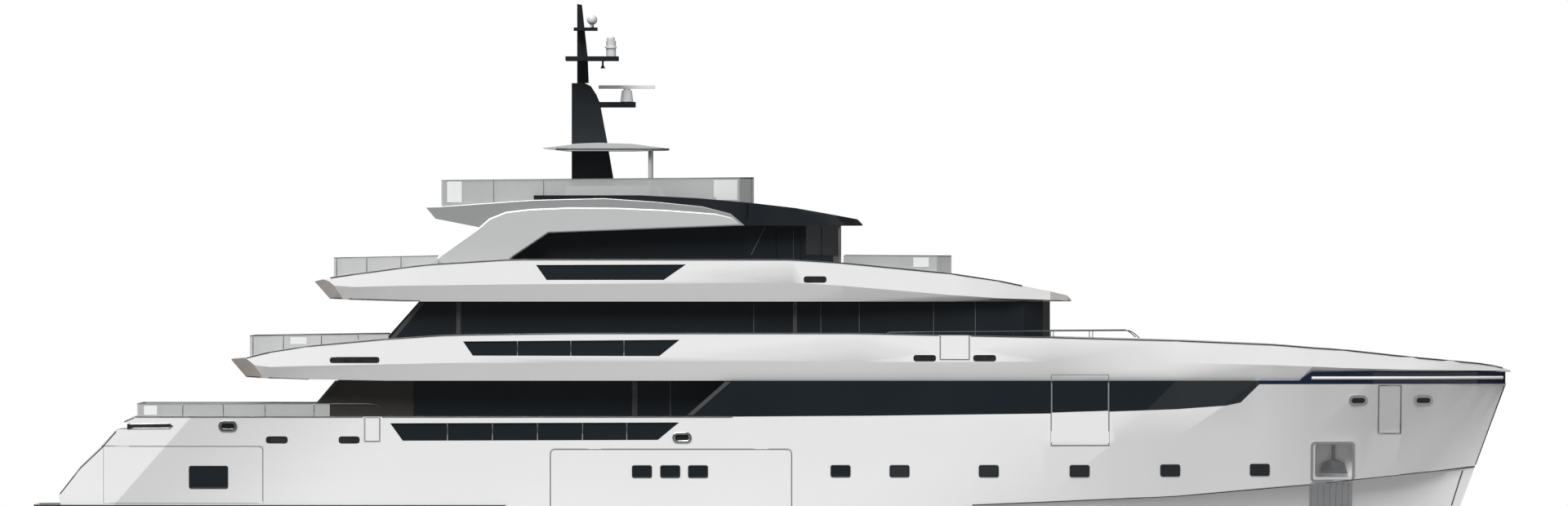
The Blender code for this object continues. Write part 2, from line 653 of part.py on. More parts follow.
WING_DOOR = box_outline(0.05, 0.50, BRIDGE_FLOOR - 0.1, 5.34)


WING_SCREEN = [(-9.045, MAIN_FLOOR), (-6.6003, MAIN_FLOOR), (-6.6003, MAIN_CEILING), (-8.04, MAIN_CEILING)]


def build_houses():
    shells = {}
    for name, plan, low, high, door_half, door_top in HOUSES:
        shells[name] = house(name, plan, low, high, door_half, door_top)
        sliding_doors(name, plan[0][0], low, door_half, door_top)
    fins(shells["upper_house"], [(-6.44, UPPER_CEILING), (-6.50, UPPER_CEILING), (-7.50, 2.90), (-7.50, UPPER_FLOOR),
                                 (-6.44, UPPER_FLOOR)], 1.72)
    fins(shells["bridge_house"], [(-4.10, 5.286), (-4.14, 5.286), (-4.755, 4.86), (-5.15, 4.40), (-5.15, BRIDGE_FLOOR),
                                  (-4.10, BRIDGE_FLOOR)], 1.60)
    side_cut(shells["bridge_house"], "wing_door", WING_DOOR, 1.4)
    for side, sign in SIDES:
        low, high = across(sign, 1.60 - GLASS_WALL, 1.60)
        edge = inset(WING_DOOR, SWING)
        leaf = block(f"wing_door_{side}", (edge[0][0], low, BRIDGE_FLOOR + SWING), (edge[1][0], high, edge[2][1]))
        x, y = edge[1][0], sign * 1.60
        join(leaf, rod(f"wing_door_pin_{side}", (x, y, BRIDGE_FLOOR), (x, y, BRIDGE_FLOOR + 0.1), HINGE_RADIUS, 12))
        put_origin(leaf, (x, y, BRIDGE_FLOOR))
        paint(leaf, TINTED, 0.08)

        low, high = across(sign, 1.69, 1.75)
        screen = side_prism(f"wing_screen_{side}", WING_SCREEN, low, high)
        paint(screen, (0.10, 0.085, 0.07, 1.0), 0.1)


def build_cabin_glass():
    """The full-beam windows of the forward main deck, standing on the hull's sheer."""
    glass = loft("cabin_glass", hull_rings(0.03), curved=True)
    line = [(-1.53, 1.90), (8.86, 1.90), (8.86, MAIN_CEILING), (-0.825, MAIN_CEILING)]
    keep_inside(glass, side_prism("cabin_glass_ends", line, -BEAM_REACH, BEAM_REACH))
    under = [(x, z + FIT) for x, z in [(-3.0, 1.92)] + SHEER] + [(14.5, 0.0), (-3.0, 0.0)]
    cut(glass, side_prism("under_sheer", under, -BEAM_REACH, BEAM_REACH))
    room = loft("cabin_room", hull_rings(0.09), curved=True)
    inner = [(-1.45, 1.0), (8.78, 1.0), (8.78, 4.0), (0.0, 4.0), (-0.76, MAIN_CEILING)]
    keep_inside(room, side_prism("cabin_room_ends", inner, -BEAM_REACH, BEAM_REACH))
    cut(glass, room)
    cut(glass, block("saloon_passage", (-2.0, -1.7503, 1.0), (-0.6, 1.7503, 4.0)))
    side_cut(glass, "boarding_glass", BOARDING_DOOR, 2.1)
    paint(glass, TINTED, 0.08)


# Roof, arches and sun deck

ARCH = [(-6.93, BRIDGE_FLOOR), (-5.30, BRIDGE_FLOOR), (-4.75, 4.86), (-4.125, 5.286), (-0.525, 5.4225),
        (-0.78, 5.64), (-1.305, 5.775), (-2.205, 5.865), (-3.105, 5.925), (-4.395, 5.895), (-6.11, 5.775),
        (-6.37, 5.76), (-6.195, 5.55), (-5.355, 5.385), (-6.315, 4.71)]
ARCH_INNER = 1.86
ARCH_OUTER = 2.04
ROOF_SIDE = [(-4.395, 5.979), (-2.43, 5.979), (-1.365, 5.925), (-0.36, 5.835), (0.41, 5.745), (1.005, 5.64),
             (1.545, 5.541), (1.65, 5.436), (1.62, ROOF_UNDERSIDE), (-4.395, ROOF_UNDERSIDE)]
ROOF_PLAN = [(-4.395, ARCH_INNER - FIT), (-0.50, ARCH_INNER - FIT), (-0.45, 1.98), (0.50, 1.93), (1.20, 1.65),
             (1.50, 1.25), (1.65, 0.60)]
SUN_DECK_SIDE = [(-6.37, 5.76), (-6.11, 5.775), (-4.3953, 5.895), (-4.3953, 5.40), (-5.355, 5.385), (-6.195, 5.55)]
SUN_FLOOR = 5.72


def build_roof():
    for side, sign in SIDES:
        paint(side_prism(f"arch_{side}", ARCH, *across(sign, ARCH_INNER, ARCH_OUTER)), SILVER, 0.3, 0.6)
    roof = side_prism("roof", ROOF_SIDE, -BEAM_REACH, BEAM_REACH)
    keep_inside(roof, plan_prism("roof_plan", mirrored_plan(ROOF_PLAN), 5.0, 6.5))
    cut(roof, block("sun_well_fore", (-5.0, -1.62, SUN_FLOOR), (-1.20, 1.62, 6.5)))
    paint(roof, TINTED, 0.3)
    aft = side_prism("sun_deck", SUN_DECK_SIDE, -ARCH_INNER + FIT, ARCH_INNER - FIT)
    cut(aft, block("sun_well_aft", (-5.95, -1.62, SUN_FLOOR), (-4.0, 1.62, 6.5)))
    paint(aft, SILVER, 0.3, 0.5)


SCREEN_PLAN = [(-6.09, 1.76), (-1.10, 1.76), (-0.62, 1.62), (-0.41, 1.30), (-0.36, 0.80)]


def build_sun_deck_fittings():
    screen = plan_prism("windscreen", mirrored_plan(SCREEN_PLAN), 5.5, 6.6)
    cut(screen, plan_prism("windscreen_inside", mirrored_plan(shell_plan(SCREEN_PLAN, 0.03)), 5.0, 7.0))
    foot = [(-6.2, 5.77 + FIT), (-6.11, 5.775 + FIT), (-4.396, 5.895 + FIT), (-4.3956, 5.979 + FIT)]
    foot += [(x, z + FIT) for x, z in ROOF_SIDE[1:5]]
    rim = [(-0.2, 6.30), (-6.2, 6.246)]
    keep_inside(screen, side_prism("windscreen_height", foot + rim, -BEAM_REACH, BEAM_REACH))
    paint(screen, CLEAR_GREY, 0.05)

    console = side_prism("sun_console", [(-3.855, SUN_FLOOR + FIT), (-1.86, SUN_FLOOR + FIT), (-2.085, 6.1575),
                                         (-3.81, 6.1575)], -0.90, 0.90)
    paint(console, WHITE, 0.25)

    top = [(-4.245, 6.85), (-3.6, 6.93), (-3.2, 6.945), (-2.6, 6.93), (-1.92, 6.84), (-1.95, 6.81), (-2.6, 6.795),
           (-3.8, 6.795)]
    hardtop = side_prism("hardtop", top, -1.30, 1.30)
    cut(hardtop, block("mast_slot", (-3.7143, -0.2403, 6.5), (-2.95, 0.2403, 7.2)))
    for side, sign in SIDES:
        join(hardtop, rod(f"hardtop_pole_{side}", (-2.26, sign * 1.10, SUN_FLOOR + FIT), (-2.26, sign * 1.10, 6.85),
                          0.04, 16))
    paint(hardtop, SILVER, 0.3, 0.5)


MAST = [(-3.714, 6.1578), (-2.925, 6.1578), (-3.06, 6.96), (-3.195, 7.68), (-3.255, 7.83), (-3.36, 7.995),
        (-3.47, 8.05), (-3.714, 8.05)]
SCANNER_X = -2.70
PEDESTAL_TOP = 7.92


def build_mast():
    mast = side_prism("mast_lower", MAST, -0.24, 0.24)
    join(mast, block("radar_shelf", (-3.30, -0.20, 7.60), (-2.535, 0.20, 7.704)))
    join(mast, rod("radar_pedestal", (SCANNER_X, 0, 7.65), (SCANNER_X, 0, PEDESTAL_TOP), 0.13, 16, 0.09))
    paint(mast, TINTED, 0.3)

    upper = side_prism("mast_upper", [(-3.615, 8.0503), (-3.40, 8.0503), (-3.42, 8.535), (-3.48, 9.075),
                                      (-3.525, 9.495), (-3.615, 9.51)], -0.06, 0.06)
    join(upper, block("lower_spreader", (-3.825, -0.80, 8.46), (-2.85, 0.80, 8.54)))
    join(upper, block("upper_spreader", (-3.675, -0.40, 9.015), (-3.24, 0.40, 9.075)))
    for side, sign in SIDES:
        join(upper, rod(f"masthead_stem_{side}", (-3.34, sign * 0.25, 9.05), (-3.34, sign * 0.25, 9.15), 0.03, 10))
        join(upper, ball(f"masthead_dome_{side}", (-3.34, sign * 0.25, 9.22), 0.095))
    join(upper, rod("masthead_light", (-2.99, 0, 8.50), (-2.99, 0, 8.83), 0.09, 12))
    paint(upper, TINTED, 0.3)

    scanner = block("radar_scanner", (SCANNER_X - 0.52, -0.06, 7.945), (SCANNER_X + 0.52, 0.06, 8.01))
    join(scanner, rod("scanner_boss", (SCANNER_X, 0, PEDESTAL_TOP + FIT), (SCANNER_X, 0, 7.96), 0.06, 16))
    put_origin(scanner, (SCANNER_X, 0, PEDESTAL_TOP + FIT))
    paint(scanner, WHITE, 0.3)


# Balustrades: glass that follows the edge of its deck

def edge_wall(name, path, thickness, side_outline, colour=CLEAR_GREY):
    """A wall along a plan path (x, half-breadth), open at its far ends, clipped to a side outline."""
    inner = []
    first, last = path[0], path[-1]
    toward = 1 if last[0] < first[0] else -1
    for x, w in path[:-1]:
        inner.append((x, w - thickness))
    inner.append((last[0] + toward * thickness, last[1] - thickness))
    ring = path + [(x, -w) for x, w in reversed(path)] + [(x, -w) for x, w in inner] + list(reversed(inner))
    wall = plan_prism(name, ring, 0.0, 9.0)
    keep_inside(wall, side_prism(f"{name}_height", side_outline, -BEAM_REACH, BEAM_REACH))
    return paint(wall, colour, 0.05)


def on_band(table, xs, top_aft, top_fore):
    """Side outline of a balustrade that stands on a band's top edge."""
    foot = [(x, top_along(table, x) + FIT) for x in xs]
    return foot + [(xs[-1], top_fore), (xs[0], top_aft)]


def build_balustrades():
    path = [(x, hull_half(x, 1.92) - 0.04) for x in (-8.127, -9.25)] + [(-11.66, hull_half(-11.66, 1.92) - 0.04)]
    edge_wall("main_balustrade", path, 0.02, box_outline(-12.0, -8.0, 1.92 + FIT, 2.1495))
    path = [(x, half_along(UPPER_BAND, upper_half, x) - 0.06) for x in (-7.05, -7.095, -8.58, -9.20)]
    path.append((-9.60, half_along(UPPER_BAND, upper_half, -9.60) - 0.10))
    xs = (-9.675, -9.225, -8.58, -7.095, -7.0)
    edge_wall("upper_balustrade", path, 0.02, on_band(UPPER_BAND, xs, 3.393, 3.432))
    path = [(x, half_along(BRIDGE_BAND, bridge_half, x) - 0.06) for x in (-6.15, -6.33, -6.825, -7.70)]
    path.append((-8.06, half_along(BRIDGE_BAND, bridge_half, -8.06) - 0.10))
    xs = (-8.145, -7.70, -6.825, -6.33, -6.1)
    edge_wall("bridge_balustrade", path, 0.02, on_band(BRIDGE_BAND, xs, 4.824, 4.8645))
    path = [(1.30, 2.14), (2.30, 2.05), (3.00, 1.90), (3.27, 1.55)]
    xs = (1.26, 3.255, 3.4)
    edge_wall("bridge_screen", path, 0.02, on_band(BRIDGE_BAND, xs, 4.875, 4.86))


def build_bow():
    xs = (8.92, 9.90, 11.0, 11.75, 12.4, 12.95, 13.28, 13.48)
    filler = plan_prism("bow_groove", mirrored_plan([(x, sheer_half(x) - 0.05 * min(1, (13.6 - x))) for x in xs]),
                        2.5128, 2.7297)
    side = [(8.9, 2.5), (13.6, 2.5), (13.6, 2.74), (9.90, 2.74), (9.885, 2.7297), (9.645, 2.5797), (8.9, 2.5797)]
    keep_inside(filler, side_prism("bow_groove_side", side, -BEAM_REACH, BEAM_REACH))
    paint(filler, NAVY, 0.2)


# Anchors

def build_anchors():
    for side, sign in SIDES:
        low, high = across(sign, 0.8503, 0.93)
        flukes = [(10.03, 0.86), (10.55, 0.86), (10.50, 1.06), (10.34, 1.12), (10.24, 1.12), (10.08, 1.06)]
        anchor = side_prism(f"anchor_{side}", flukes, low, high)
        low, high = across(sign, 0.87, 0.91)
        join(anchor, side_prism(f"anchor_shank_{side}", box_outline(10.26, 10.32, 1.0, 1.37), low, high))
        paint(anchor, STEEL, 0.2, 1.0)


# Running gear

def blade(name, centre, turn, hand):
    """One propeller blade, twisted from root to tip."""
    sections = [
        # radius, chord, thickness, pitch angle
        (0.055, 0.16, 0.030, 1.05),
        (0.18, 0.24, 0.022, 0.75),
        (0.30, 0.25, 0.015, 0.55),
        (0.40, 0.12, 0.008, 0.45),
    ]
    rings = []
    for radius, chord, thick, pitch in sections:
        along = Vector((math.sin(pitch), hand * math.cos(pitch), 0))
        square = Vector((math.cos(pitch), -hand * math.sin(pitch), 0))
        middle = Vector((0, 0, radius))
        ring = []
        for u, v in ((-0.5, 0), (-0.2, 0.5), (0.25, 0.45), (0.5, 0), (0.25, -0.45), (-0.2, -0.5)):
            ring.append(middle + along * (u * chord) + square * (v * thick))
        rings.append([Matrix.Rotation(turn, 3, "X") @ p + Vector(centre) for p in ring])
    return loft(name, rings)


PROPELLER_X = -11.45
BLADES = 5
BRACKET_X = -10.95


def build_running_gear():
    for side, sign in SIDES:
        y = sign * SHAFT_Y
        centre = (PROPELLER_X, y, SHAFT_Z)
        shaft = rod(f"propeller_{side}", (BOSS_END - FIT, y, SHAFT_Z), (PROPELLER_X, y, SHAFT_Z), SHAFT_RADIUS, 16)
        hub = rod(f"hub_{side}", (PROPELLER_X + 0.11, y, SHAFT_Z), (PROPELLER_X - 0.13, y, SHAFT_Z), 0.08, 20, 0.05)
        join(shaft, hub)
        for i in range(BLADES):
            join(shaft, blade(f"blade_{side}_{i}", centre, 2 * math.pi * i / BLADES, sign))
        put_origin(shaft, centre)
        paint(shaft, BRONZE, 0.25, 1.0)

        barrel = rod(f"shaft_bracket_{side}", (BRACKET_X - 0.12, y, SHAFT_Z), (BRACKET_X + 0.12, y, SHAFT_Z), 0.075, 20)
        leg = [(BRACKET_X - 0.09, SHAFT_Z), (BRACKET_X + 0.09, SHAFT_Z), (BRACKET_X + 0.09, keel_z(BRACKET_X + 0.09) - FIT),
               (BRACKET_X - 0.09, keel_z(BRACKET_X - 0.09) - FIT)]
        join(barrel, side_prism(f"bracket_leg_{side}", leg, y - 0.02, y + 0.02))
        cut(barrel, rod(f"bracket_bore_{side}", (BRACKET_X - 0.3, y, SHAFT_Z), (BRACKET_X + 0.3, y, SHAFT_Z),
                        SHAFT_RADIUS + 0.0012, 24))
        paint(barrel, BRONZE, 0.3, 1.0)

        foil = [(0.30, 0.0), (0.24, 0.030), (0.10, 0.042), (-0.15, 0.028), (-0.40, 0.004)]
        plan = [(RUDDER_X + px, y + py) for px, py in foil] + [(RUDDER_X + px, y - py) for px, py in reversed(foil[1:])]
        rudder = plan_prism(f"rudder_{side}", plan, -1.36, -0.52)
        join(rudder, rod(f"rudder_stock_{side}", (RUDDER_X, y, -0.60), (RUDDER_X, y, -0.22), STOCK_RADIUS, 24))
        put_origin(rudder, (RUDDER_X, y, -0.52))
        paint(rudder, WHITE, 0.4)

        root, out = fin_frame(sign)
        up = Vector((0, sign * math.sin(FIN_DROOP), math.cos(FIN_DROOP)))
        rings = []
        for reach, fore, aft, thick in ((0.010, 0.22, -0.38, 0.036), (0.42, 0.12, -0.32, 0.024)):
            middle = root + out * reach
            ring = []
            for u, v in ((fore, 0), (fore - 0.08, 1), (-0.05, 1), (aft, 0.05), (aft, -0.05), (-0.05, -1), (fore - 0.08, -1)):
                ring.append(middle + Vector((u, 0, 0)) + up * (v * thick))
            rings.append(ring)
        fin = loft(f"fin_{side}", rings)
        join(fin, rod(f"fin_stock_{side}", root - out * 0.15, root + out * 0.08, STOCK_RADIUS, 24))
        put_origin(fin, root)
        paint(fin, WHITE, 0.4)


build_hull()
build_shell_doors()
build_platform()
build_bands()
build_decks()
build_houses()
build_cabin_glass()
build_roof()
build_sun_deck_fittings()
build_mast()
build_balustrades()
build_bow()
build_anchors()
build_running_gear()
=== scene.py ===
# Motor yacht at half scale: finishes, glass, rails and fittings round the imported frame.
# Metres. +X to the bow, +Y to port, +Z up, the waterline at z = 0.

import json
import math

import bmesh
import bpy
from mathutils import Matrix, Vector


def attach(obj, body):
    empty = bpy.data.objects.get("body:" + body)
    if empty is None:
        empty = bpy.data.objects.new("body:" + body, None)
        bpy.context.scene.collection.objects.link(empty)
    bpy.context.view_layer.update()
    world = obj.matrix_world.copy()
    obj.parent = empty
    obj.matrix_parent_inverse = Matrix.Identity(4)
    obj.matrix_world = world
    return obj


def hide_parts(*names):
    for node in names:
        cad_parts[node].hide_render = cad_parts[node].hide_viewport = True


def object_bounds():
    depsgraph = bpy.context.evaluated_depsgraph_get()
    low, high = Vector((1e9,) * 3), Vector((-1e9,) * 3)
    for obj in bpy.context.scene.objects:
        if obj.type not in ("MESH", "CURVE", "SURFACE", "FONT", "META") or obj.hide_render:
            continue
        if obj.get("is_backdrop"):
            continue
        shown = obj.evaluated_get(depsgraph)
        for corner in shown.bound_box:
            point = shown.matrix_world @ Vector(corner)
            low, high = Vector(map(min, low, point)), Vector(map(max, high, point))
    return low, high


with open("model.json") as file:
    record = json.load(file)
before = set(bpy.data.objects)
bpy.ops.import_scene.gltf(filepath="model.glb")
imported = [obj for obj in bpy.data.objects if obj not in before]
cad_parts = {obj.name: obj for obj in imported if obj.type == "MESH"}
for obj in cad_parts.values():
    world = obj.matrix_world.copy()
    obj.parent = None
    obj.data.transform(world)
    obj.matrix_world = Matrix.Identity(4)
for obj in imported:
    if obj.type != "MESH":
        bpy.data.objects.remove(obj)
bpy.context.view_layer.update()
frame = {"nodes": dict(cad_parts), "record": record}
cadNodes = frame["nodes"]
bodyOf = {node: body for body, members in frame["record"]["behaviour"]["bodies"].items() for node in members}
shipBody = "hull_and_superstructure"
sides = {"port": 1, "stbd": -1}
print("frame loaded:", len(cadNodes), "nodes")


# The side drawing, whose units place doors, windows and rails

drawing = {
    "unit": 0.015,  # metres for one unit
    "amidships": 947,
    "waterline": 638,
    "middle": (960, 310),
    "width": 1920,
    "abeam": -3.5,  # the y where plates are drawn before they are laid on the side
}


def spot(across, down):  # a point of the side drawing as x and z
    return (across - drawing["amidships"]) * drawing["unit"], (drawing["waterline"] - down) * drawing["unit"]


def spotX(across):
    return spot(across, 0)[0]


def spotZ(down):
    return spot(0, down)[1]


# Finishes


def surface(colour, tone, patch, gloss, grain, bump, **more):
    return dict(colour=colour, tone=tone, patch=patch, gloss=gloss, grain=grain, bump=bump, **more)


looks = {
    # colour, the tone mixed in, scale of the mix, roughness range, scale of the grain, its strength
    "topsidePaint": surface((0.80, 0.80, 0.80), (0.76, 0.76, 0.765), 0.35, (0.16, 0.26), 60, 0.02, coat=0.6),
    # two copies of one silver: the darker one is painted shade, the lighter one is painted light
    "archSilver": surface((0.42, 0.43, 0.43), (0.37, 0.38, 0.385), 0.8, (0.28, 0.36), 40, 0.01,
                          metal=0.35, coat=0.5),
    "legSilver": surface((0.66, 0.67, 0.67), (0.60, 0.61, 0.615), 0.9, (0.28, 0.36), 40, 0.01,
                         metal=0.25, coat=0.3),
    "roofDark": surface((0.007, 0.01, 0.013), (0.011, 0.014, 0.018), 1.2, (0.26, 0.36), 160, 0.04, coat=0.15),
    "navyPaint": surface((0.005, 0.010, 0.030), (0.008, 0.015, 0.042), 1.5, (0.14, 0.22), 90, 0.02, coat=0.2),
    "tintedGlass": surface((0.0085, 0.012, 0.015), (0.013, 0.018, 0.022), 0.5, (0.04, 0.08), 1.5, 0.01),
    "houseGlass": surface((0.013, 0.017, 0.021), (0.017, 0.022, 0.027), 0.5, (0.04, 0.08), 1.5, 0.01),
    "smokedGlass": surface((0.058, 0.056, 0.052), (0.068, 0.066, 0.062), 0.8, (0.05, 0.10), 2, 0.01,
                           alpha=0.86),
    "clearGlass": surface((0.47, 0.48, 0.48), (0.56, 0.57, 0.57), 1.1, (0.04, 0.08), 2, 0.01, alpha=0.62),
    # painted highlight: a pale glass for the glint on curved glass corners
    "brightGlass": surface((0.86, 0.87, 0.87), (0.92, 0.93, 0.93), 1.1, (0.04, 0.08), 2, 0.01, alpha=0.88),
    # a paler copy of the clear glass for the higher walls: painted light, as these walls show brighter
    "paleGlass": surface((0.60, 0.61, 0.61), (0.68, 0.69, 0.69), 1.1, (0.04, 0.08), 2, 0.01, alpha=0.62),
    "polishedSteel": surface((0.60, 0.61, 0.62), (0.52, 0.53, 0.54), 6, (0.14, 0.26), 40, 0.03, metal=1.0),
    "darkRubber": surface((0.018, 0.018, 0.020), (0.030, 0.030, 0.032), 9, (0.55, 0.75), 150, 0.2),
    "frameBlack": surface((0.010, 0.012, 0.014), (0.016, 0.018, 0.020), 8, (0.25, 0.40), 140, 0.04),
    "pillarGrey": surface((0.060, 0.060, 0.062), (0.075, 0.075, 0.077), 3, (0.25, 0.35), 150, 0.04, coat=0.3),
    "jointGrey": surface((0.10, 0.10, 0.105), (0.14, 0.14, 0.145), 7, (0.5, 0.7), 120, 0.1),
    "castBronze": surface((0.42, 0.27, 0.10), (0.30, 0.20, 0.09), 5, (0.24, 0.42), 70, 0.12, metal=1.0),
    "radarWhite": surface((0.72, 0.73, 0.74), (0.66, 0.67, 0.68), 4, (0.30, 0.42), 90, 0.05),
    "antifouling": surface((0.020, 0.026, 0.045), (0.035, 0.042, 0.060), 1.4, (0.55, 0.75), 110, 0.2),
}
finishBasics = {"patchRange": (0.3, 0.7), "grainDepth": 0.002, "coatGloss": 0.08}


def addNode(tree, kind, **values):
    node = tree.nodes.new("ShaderNode" + kind)
    for key, value in values.items():
        if key in node.inputs:
            node.inputs[key].default_value = value
        else:
            setattr(node, key, value)
    return node


def wire(source, out, target, into):
    source.id_data.links.new(source.outputs[out], target.inputs[into])


def ramp(tree, start, end, low, high, **more):  # values from start to end become low to high
    reach = {"From Min": start, "From Max": end, "To Min": low, "To Max": high}
    return addNode(tree, "MapRange", **reach, **more)


def makeFinish(name, look):
    material = bpy.data.materials.new(name)
    material.use_nodes = True
    tree = material.node_tree
    shader = tree.nodes["Principled BSDF"]
    place = addNode(tree, "TexCoord")
    patches = addNode(tree, "TexNoise", Scale=look["patch"], Detail=3.0)
    wire(place, "Object", patches, "Vector")

    blend = addNode(tree, "MixRGB", Color1=(*look["colour"], 1), Color2=(*look["tone"], 1))
    wire(patches, "Fac", blend, "Fac")
    wire(blend, "Color", shader, "Base Color")

    gloss = ramp(tree, *finishBasics["patchRange"], *look["gloss"])
    wire(patches, "Fac", gloss, "Value")
    wire(gloss, "Result", shader, "Roughness")

    grain = addNode(tree, "TexNoise", Scale=look["grain"], Detail=2.0)
    bump = addNode(tree, "Bump", Strength=look["bump"], Distance=finishBasics["grainDepth"])
    wire(place, "Object", grain, "Vector")
    wire(grain, "Fac", bump, "Height")
    wire(bump, "Normal", shader, "Normal")

    shader.inputs["Metallic"].default_value = look.get("metal", 0.0)
    shader.inputs["Coat Weight"].default_value = look.get("coat", 0.0)
    shader.inputs["Coat Roughness"].default_value = finishBasics["coatGloss"]
    shader.inputs["Alpha"].default_value = look.get("alpha", 1.0)
    return material


def placeNode(tree):
    return next(node for node in tree.nodes if node.type == "TEX_COORD")


finishes = {name: makeFinish(name, look) for name, look in looks.items()}

# Laid teak for the decks

planking = {
    "length": 1.6, "width": 0.045, "caulk": 0.004, "seam": (0.02, 0.02, 0.02),
    "wood": surface((0.40, 0.265, 0.15), (0.31, 0.20, 0.11), 2, (0.55, 0.7), 45, 0.15),
    "fibreScale": 9.0, "fibreStretch": (0.4, 7.0, 1.0), "fibreShare": 0.35,
}

wood = planking["wood"]
material = makeFinish("laidTeak", wood)
tree = material.node_tree
place = placeNode(tree)
planks = addNode(tree, "TexBrick", **{
    "Scale": 1.0, "Color1": (*wood["colour"], 1), "Color2": (*wood["tone"], 1),
    "Mortar": (*planking["seam"], 1), "Mortar Size": planking["caulk"] / 2,
    "Brick Width": planking["length"], "Row Height": planking["width"]})
along = addNode(tree, "Mapping", Scale=planking["fibreStretch"])
fibres = addNode(tree, "TexNoise", Scale=planking["fibreScale"], Detail=4.0)
mix = addNode(tree, "MixRGB", blend_type="MULTIPLY", Fac=planking["fibreShare"])
wire(place, "Object", planks, "Vector")
wire(place, "Object", along, "Vector")
wire(along, "Vector", fibres, "Vector")
wire(planks, "Color", mix, "Color1")
wire(fibres, "Color", mix, "Color2")
wire(mix, "Color", tree.nodes["Principled BSDF"], "Base Color")
finishes["laidTeak"] = material


# Hull paint: white topsides, a navy boot top at the waterline, antifouling below, and a painted shade forward
# of the quarter's crease

bootTop = {"low": 0.02, "high": 0.11}
quarterPaintedShade = {
    # painted shade: a grey mixed into the white forward of the quarter's slanted crease, fading forward: its
    # lean, and its ramps in x at the waterline
    "lean": 0.88, "colour": (0.44, 0.44, 0.445),
    "rise": (-12.37, -12.33, 0.0, 1.0), "fall": (-12.33, -8.0, 0.55, 0.0),
}

material = makeFinish("hullPaint", looks["topsidePaint"])
tree = material.node_tree
shader = tree.nodes["Principled BSDF"]
paint = shader.inputs["Base Color"].links[0].from_node
split = addNode(tree, "SeparateXYZ")
wire(placeNode(tree), "Object", split, 0)

lean = addNode(tree, "Math", operation="MULTIPLY")
lean.inputs[1].default_value = quarterPaintedShade["lean"]
crease = addNode(tree, "Math", operation="SUBTRACT")
wire(split, "Z", lean, 0)
wire(split, "X", crease, 0)
wire(lean, 0, crease, 1)
# the mask of the painted shade, full at the crease and fading forward
depth = addNode(tree, "Math", operation="MULTIPLY")
rise = ramp(tree, *quarterPaintedShade["rise"], clamp=True)
fall = ramp(tree, *quarterPaintedShade["fall"], clamp=True, interpolation_type="SMOOTHSTEP")
for number, shade in enumerate((rise, fall)):
    wire(crease, 0, shade, "Value")
    wire(shade, "Result", depth, number)

layers = [(depth, quarterPaintedShade["colour"])]
for level, look in ((bootTop["high"], "navyPaint"), (bootTop["low"], "antifouling")):
    below = addNode(tree, "Math", operation="LESS_THAN")
    below.inputs[1].default_value = level
    wire(split, "Z", below, 0)
    layers.append((below, looks[look]["colour"]))
for mask, colour in layers:
    layer = addNode(tree, "MixRGB", Color2=(*colour, 1))
    wire(mask, 0, layer, "Fac")
    wire(paint, "Color", layer, "Color1")
    paint = layer
wire(paint, "Color", shader, "Base Color")
finishes["hullPaint"] = material

print("finishes:", len(finishes))


# Modelling helpers: every piece starts as a primitive and is shaped in edit mode

rays = {"abeam": -6.0, "above": 12.0}  # where the rays that look for a side or a top start


def choose(piece):
    bpy.ops.object.select_all(action="DESELECT")
    piece.select_set(True)
    bpy.context.view_layer.objects.active = piece


def editMode(on=True):
    bpy.ops.object.mode_set(mode="EDIT" if on else "OBJECT")


def selectAll():
    bpy.ops.mesh.select_all(action="SELECT")


def pull(x, y, z):  # extrudes what is selected
    bpy.ops.mesh.extrude_region_move(TRANSFORM_OT_translate={"value": (x, y, z)})


def smooth(angle):
    bpy.ops.object.shade_smooth_by_angle(angle=math.radians(angle))


def dress(piece, finish):
    piece.data.materials.clear()
    piece.data.materials.append(finishes[finish])


def begin(name):
    piece = bpy.context.object
    piece.name = piece.data.name = name
    return piece


def settle(piece):  # the place, turn and size go into the mesh
    choose(piece)
    bpy.ops.object.transform_apply(location=True, rotation=True, scale=True)


def settleInEdit(piece):
    editMode(False)
    settle(piece)
    editMode()


def apply(piece, kind, **values):
    modifier = piece.modifiers.new(kind.title(), kind)
    for key, value in values.items():
        setattr(modifier, key, value)
    choose(piece)
    bpy.ops.object.modifier_apply(modifier=modifier.name)


def roundEdges(piece, width, angle):
    apply(piece, "BEVEL", width=width, segments=2, limit_method="ANGLE", angle_limit=math.radians(angle))


def weigh(piece):  # large faces decide how a smooth edge is shaded
    apply(piece, "WEIGHTED_NORMAL", keep_sharp=True, weight=60)


def drawLine(name, points):  # a vertex pulled from point to point
    bpy.ops.object.select_all(action="DESELECT")
    bpy.ops.mesh.primitive_plane_add(size=0.01, location=points[0])
    piece = begin(name)
    editMode()
    bpy.ops.mesh.merge(type="CENTER")
    for here, ahead in zip(points, points[1:]):
        pull(*(Vector(ahead) - Vector(here)))
    return piece


def drawPlate(name, points):  # a flat face inside an outline, left in edit mode with the face selected
    piece = drawLine(name, points)
    selectAll()
    bpy.ops.mesh.edge_face_add()
    return piece


def slab(name, points, thick):  # a plate inside an outline, thick along Y
    piece = drawPlate(name, points)
    pull(0, thick, 0)
    editMode(False)
    return piece


def finishPiece(piece, finish, slot, body=shipBody, sharp=30, soften=0):
    settle(piece)
    editMode()
    selectAll()
    bpy.ops.mesh.remove_doubles(threshold=0.00005)
    bpy.ops.mesh.normals_make_consistent(inside=False)
    editMode(False)
    smooth(sharp)
    if soften:
        roundEdges(piece, soften, sharp)
        smooth(sharp)
    dress(piece, finish)
    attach(piece, body)


def bothSides(piece, finish, slot, body=shipBody, sharp=30, soften=0):  # the piece and its twin to port
    finishPiece(piece, finish, slot, body, sharp, soften)
    choose(piece)
    bpy.ops.object.duplicate()
    twin = begin(piece.name.replace("Stbd", "Port"))
    editMode()
    selectAll()
    bpy.ops.transform.resize(value=(1, -1, 1), center_override=(0, 0, 0))
    bpy.ops.mesh.flip_normals()
    editMode(False)
    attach(twin, body.replace("stbd", "port"))
    return piece, twin


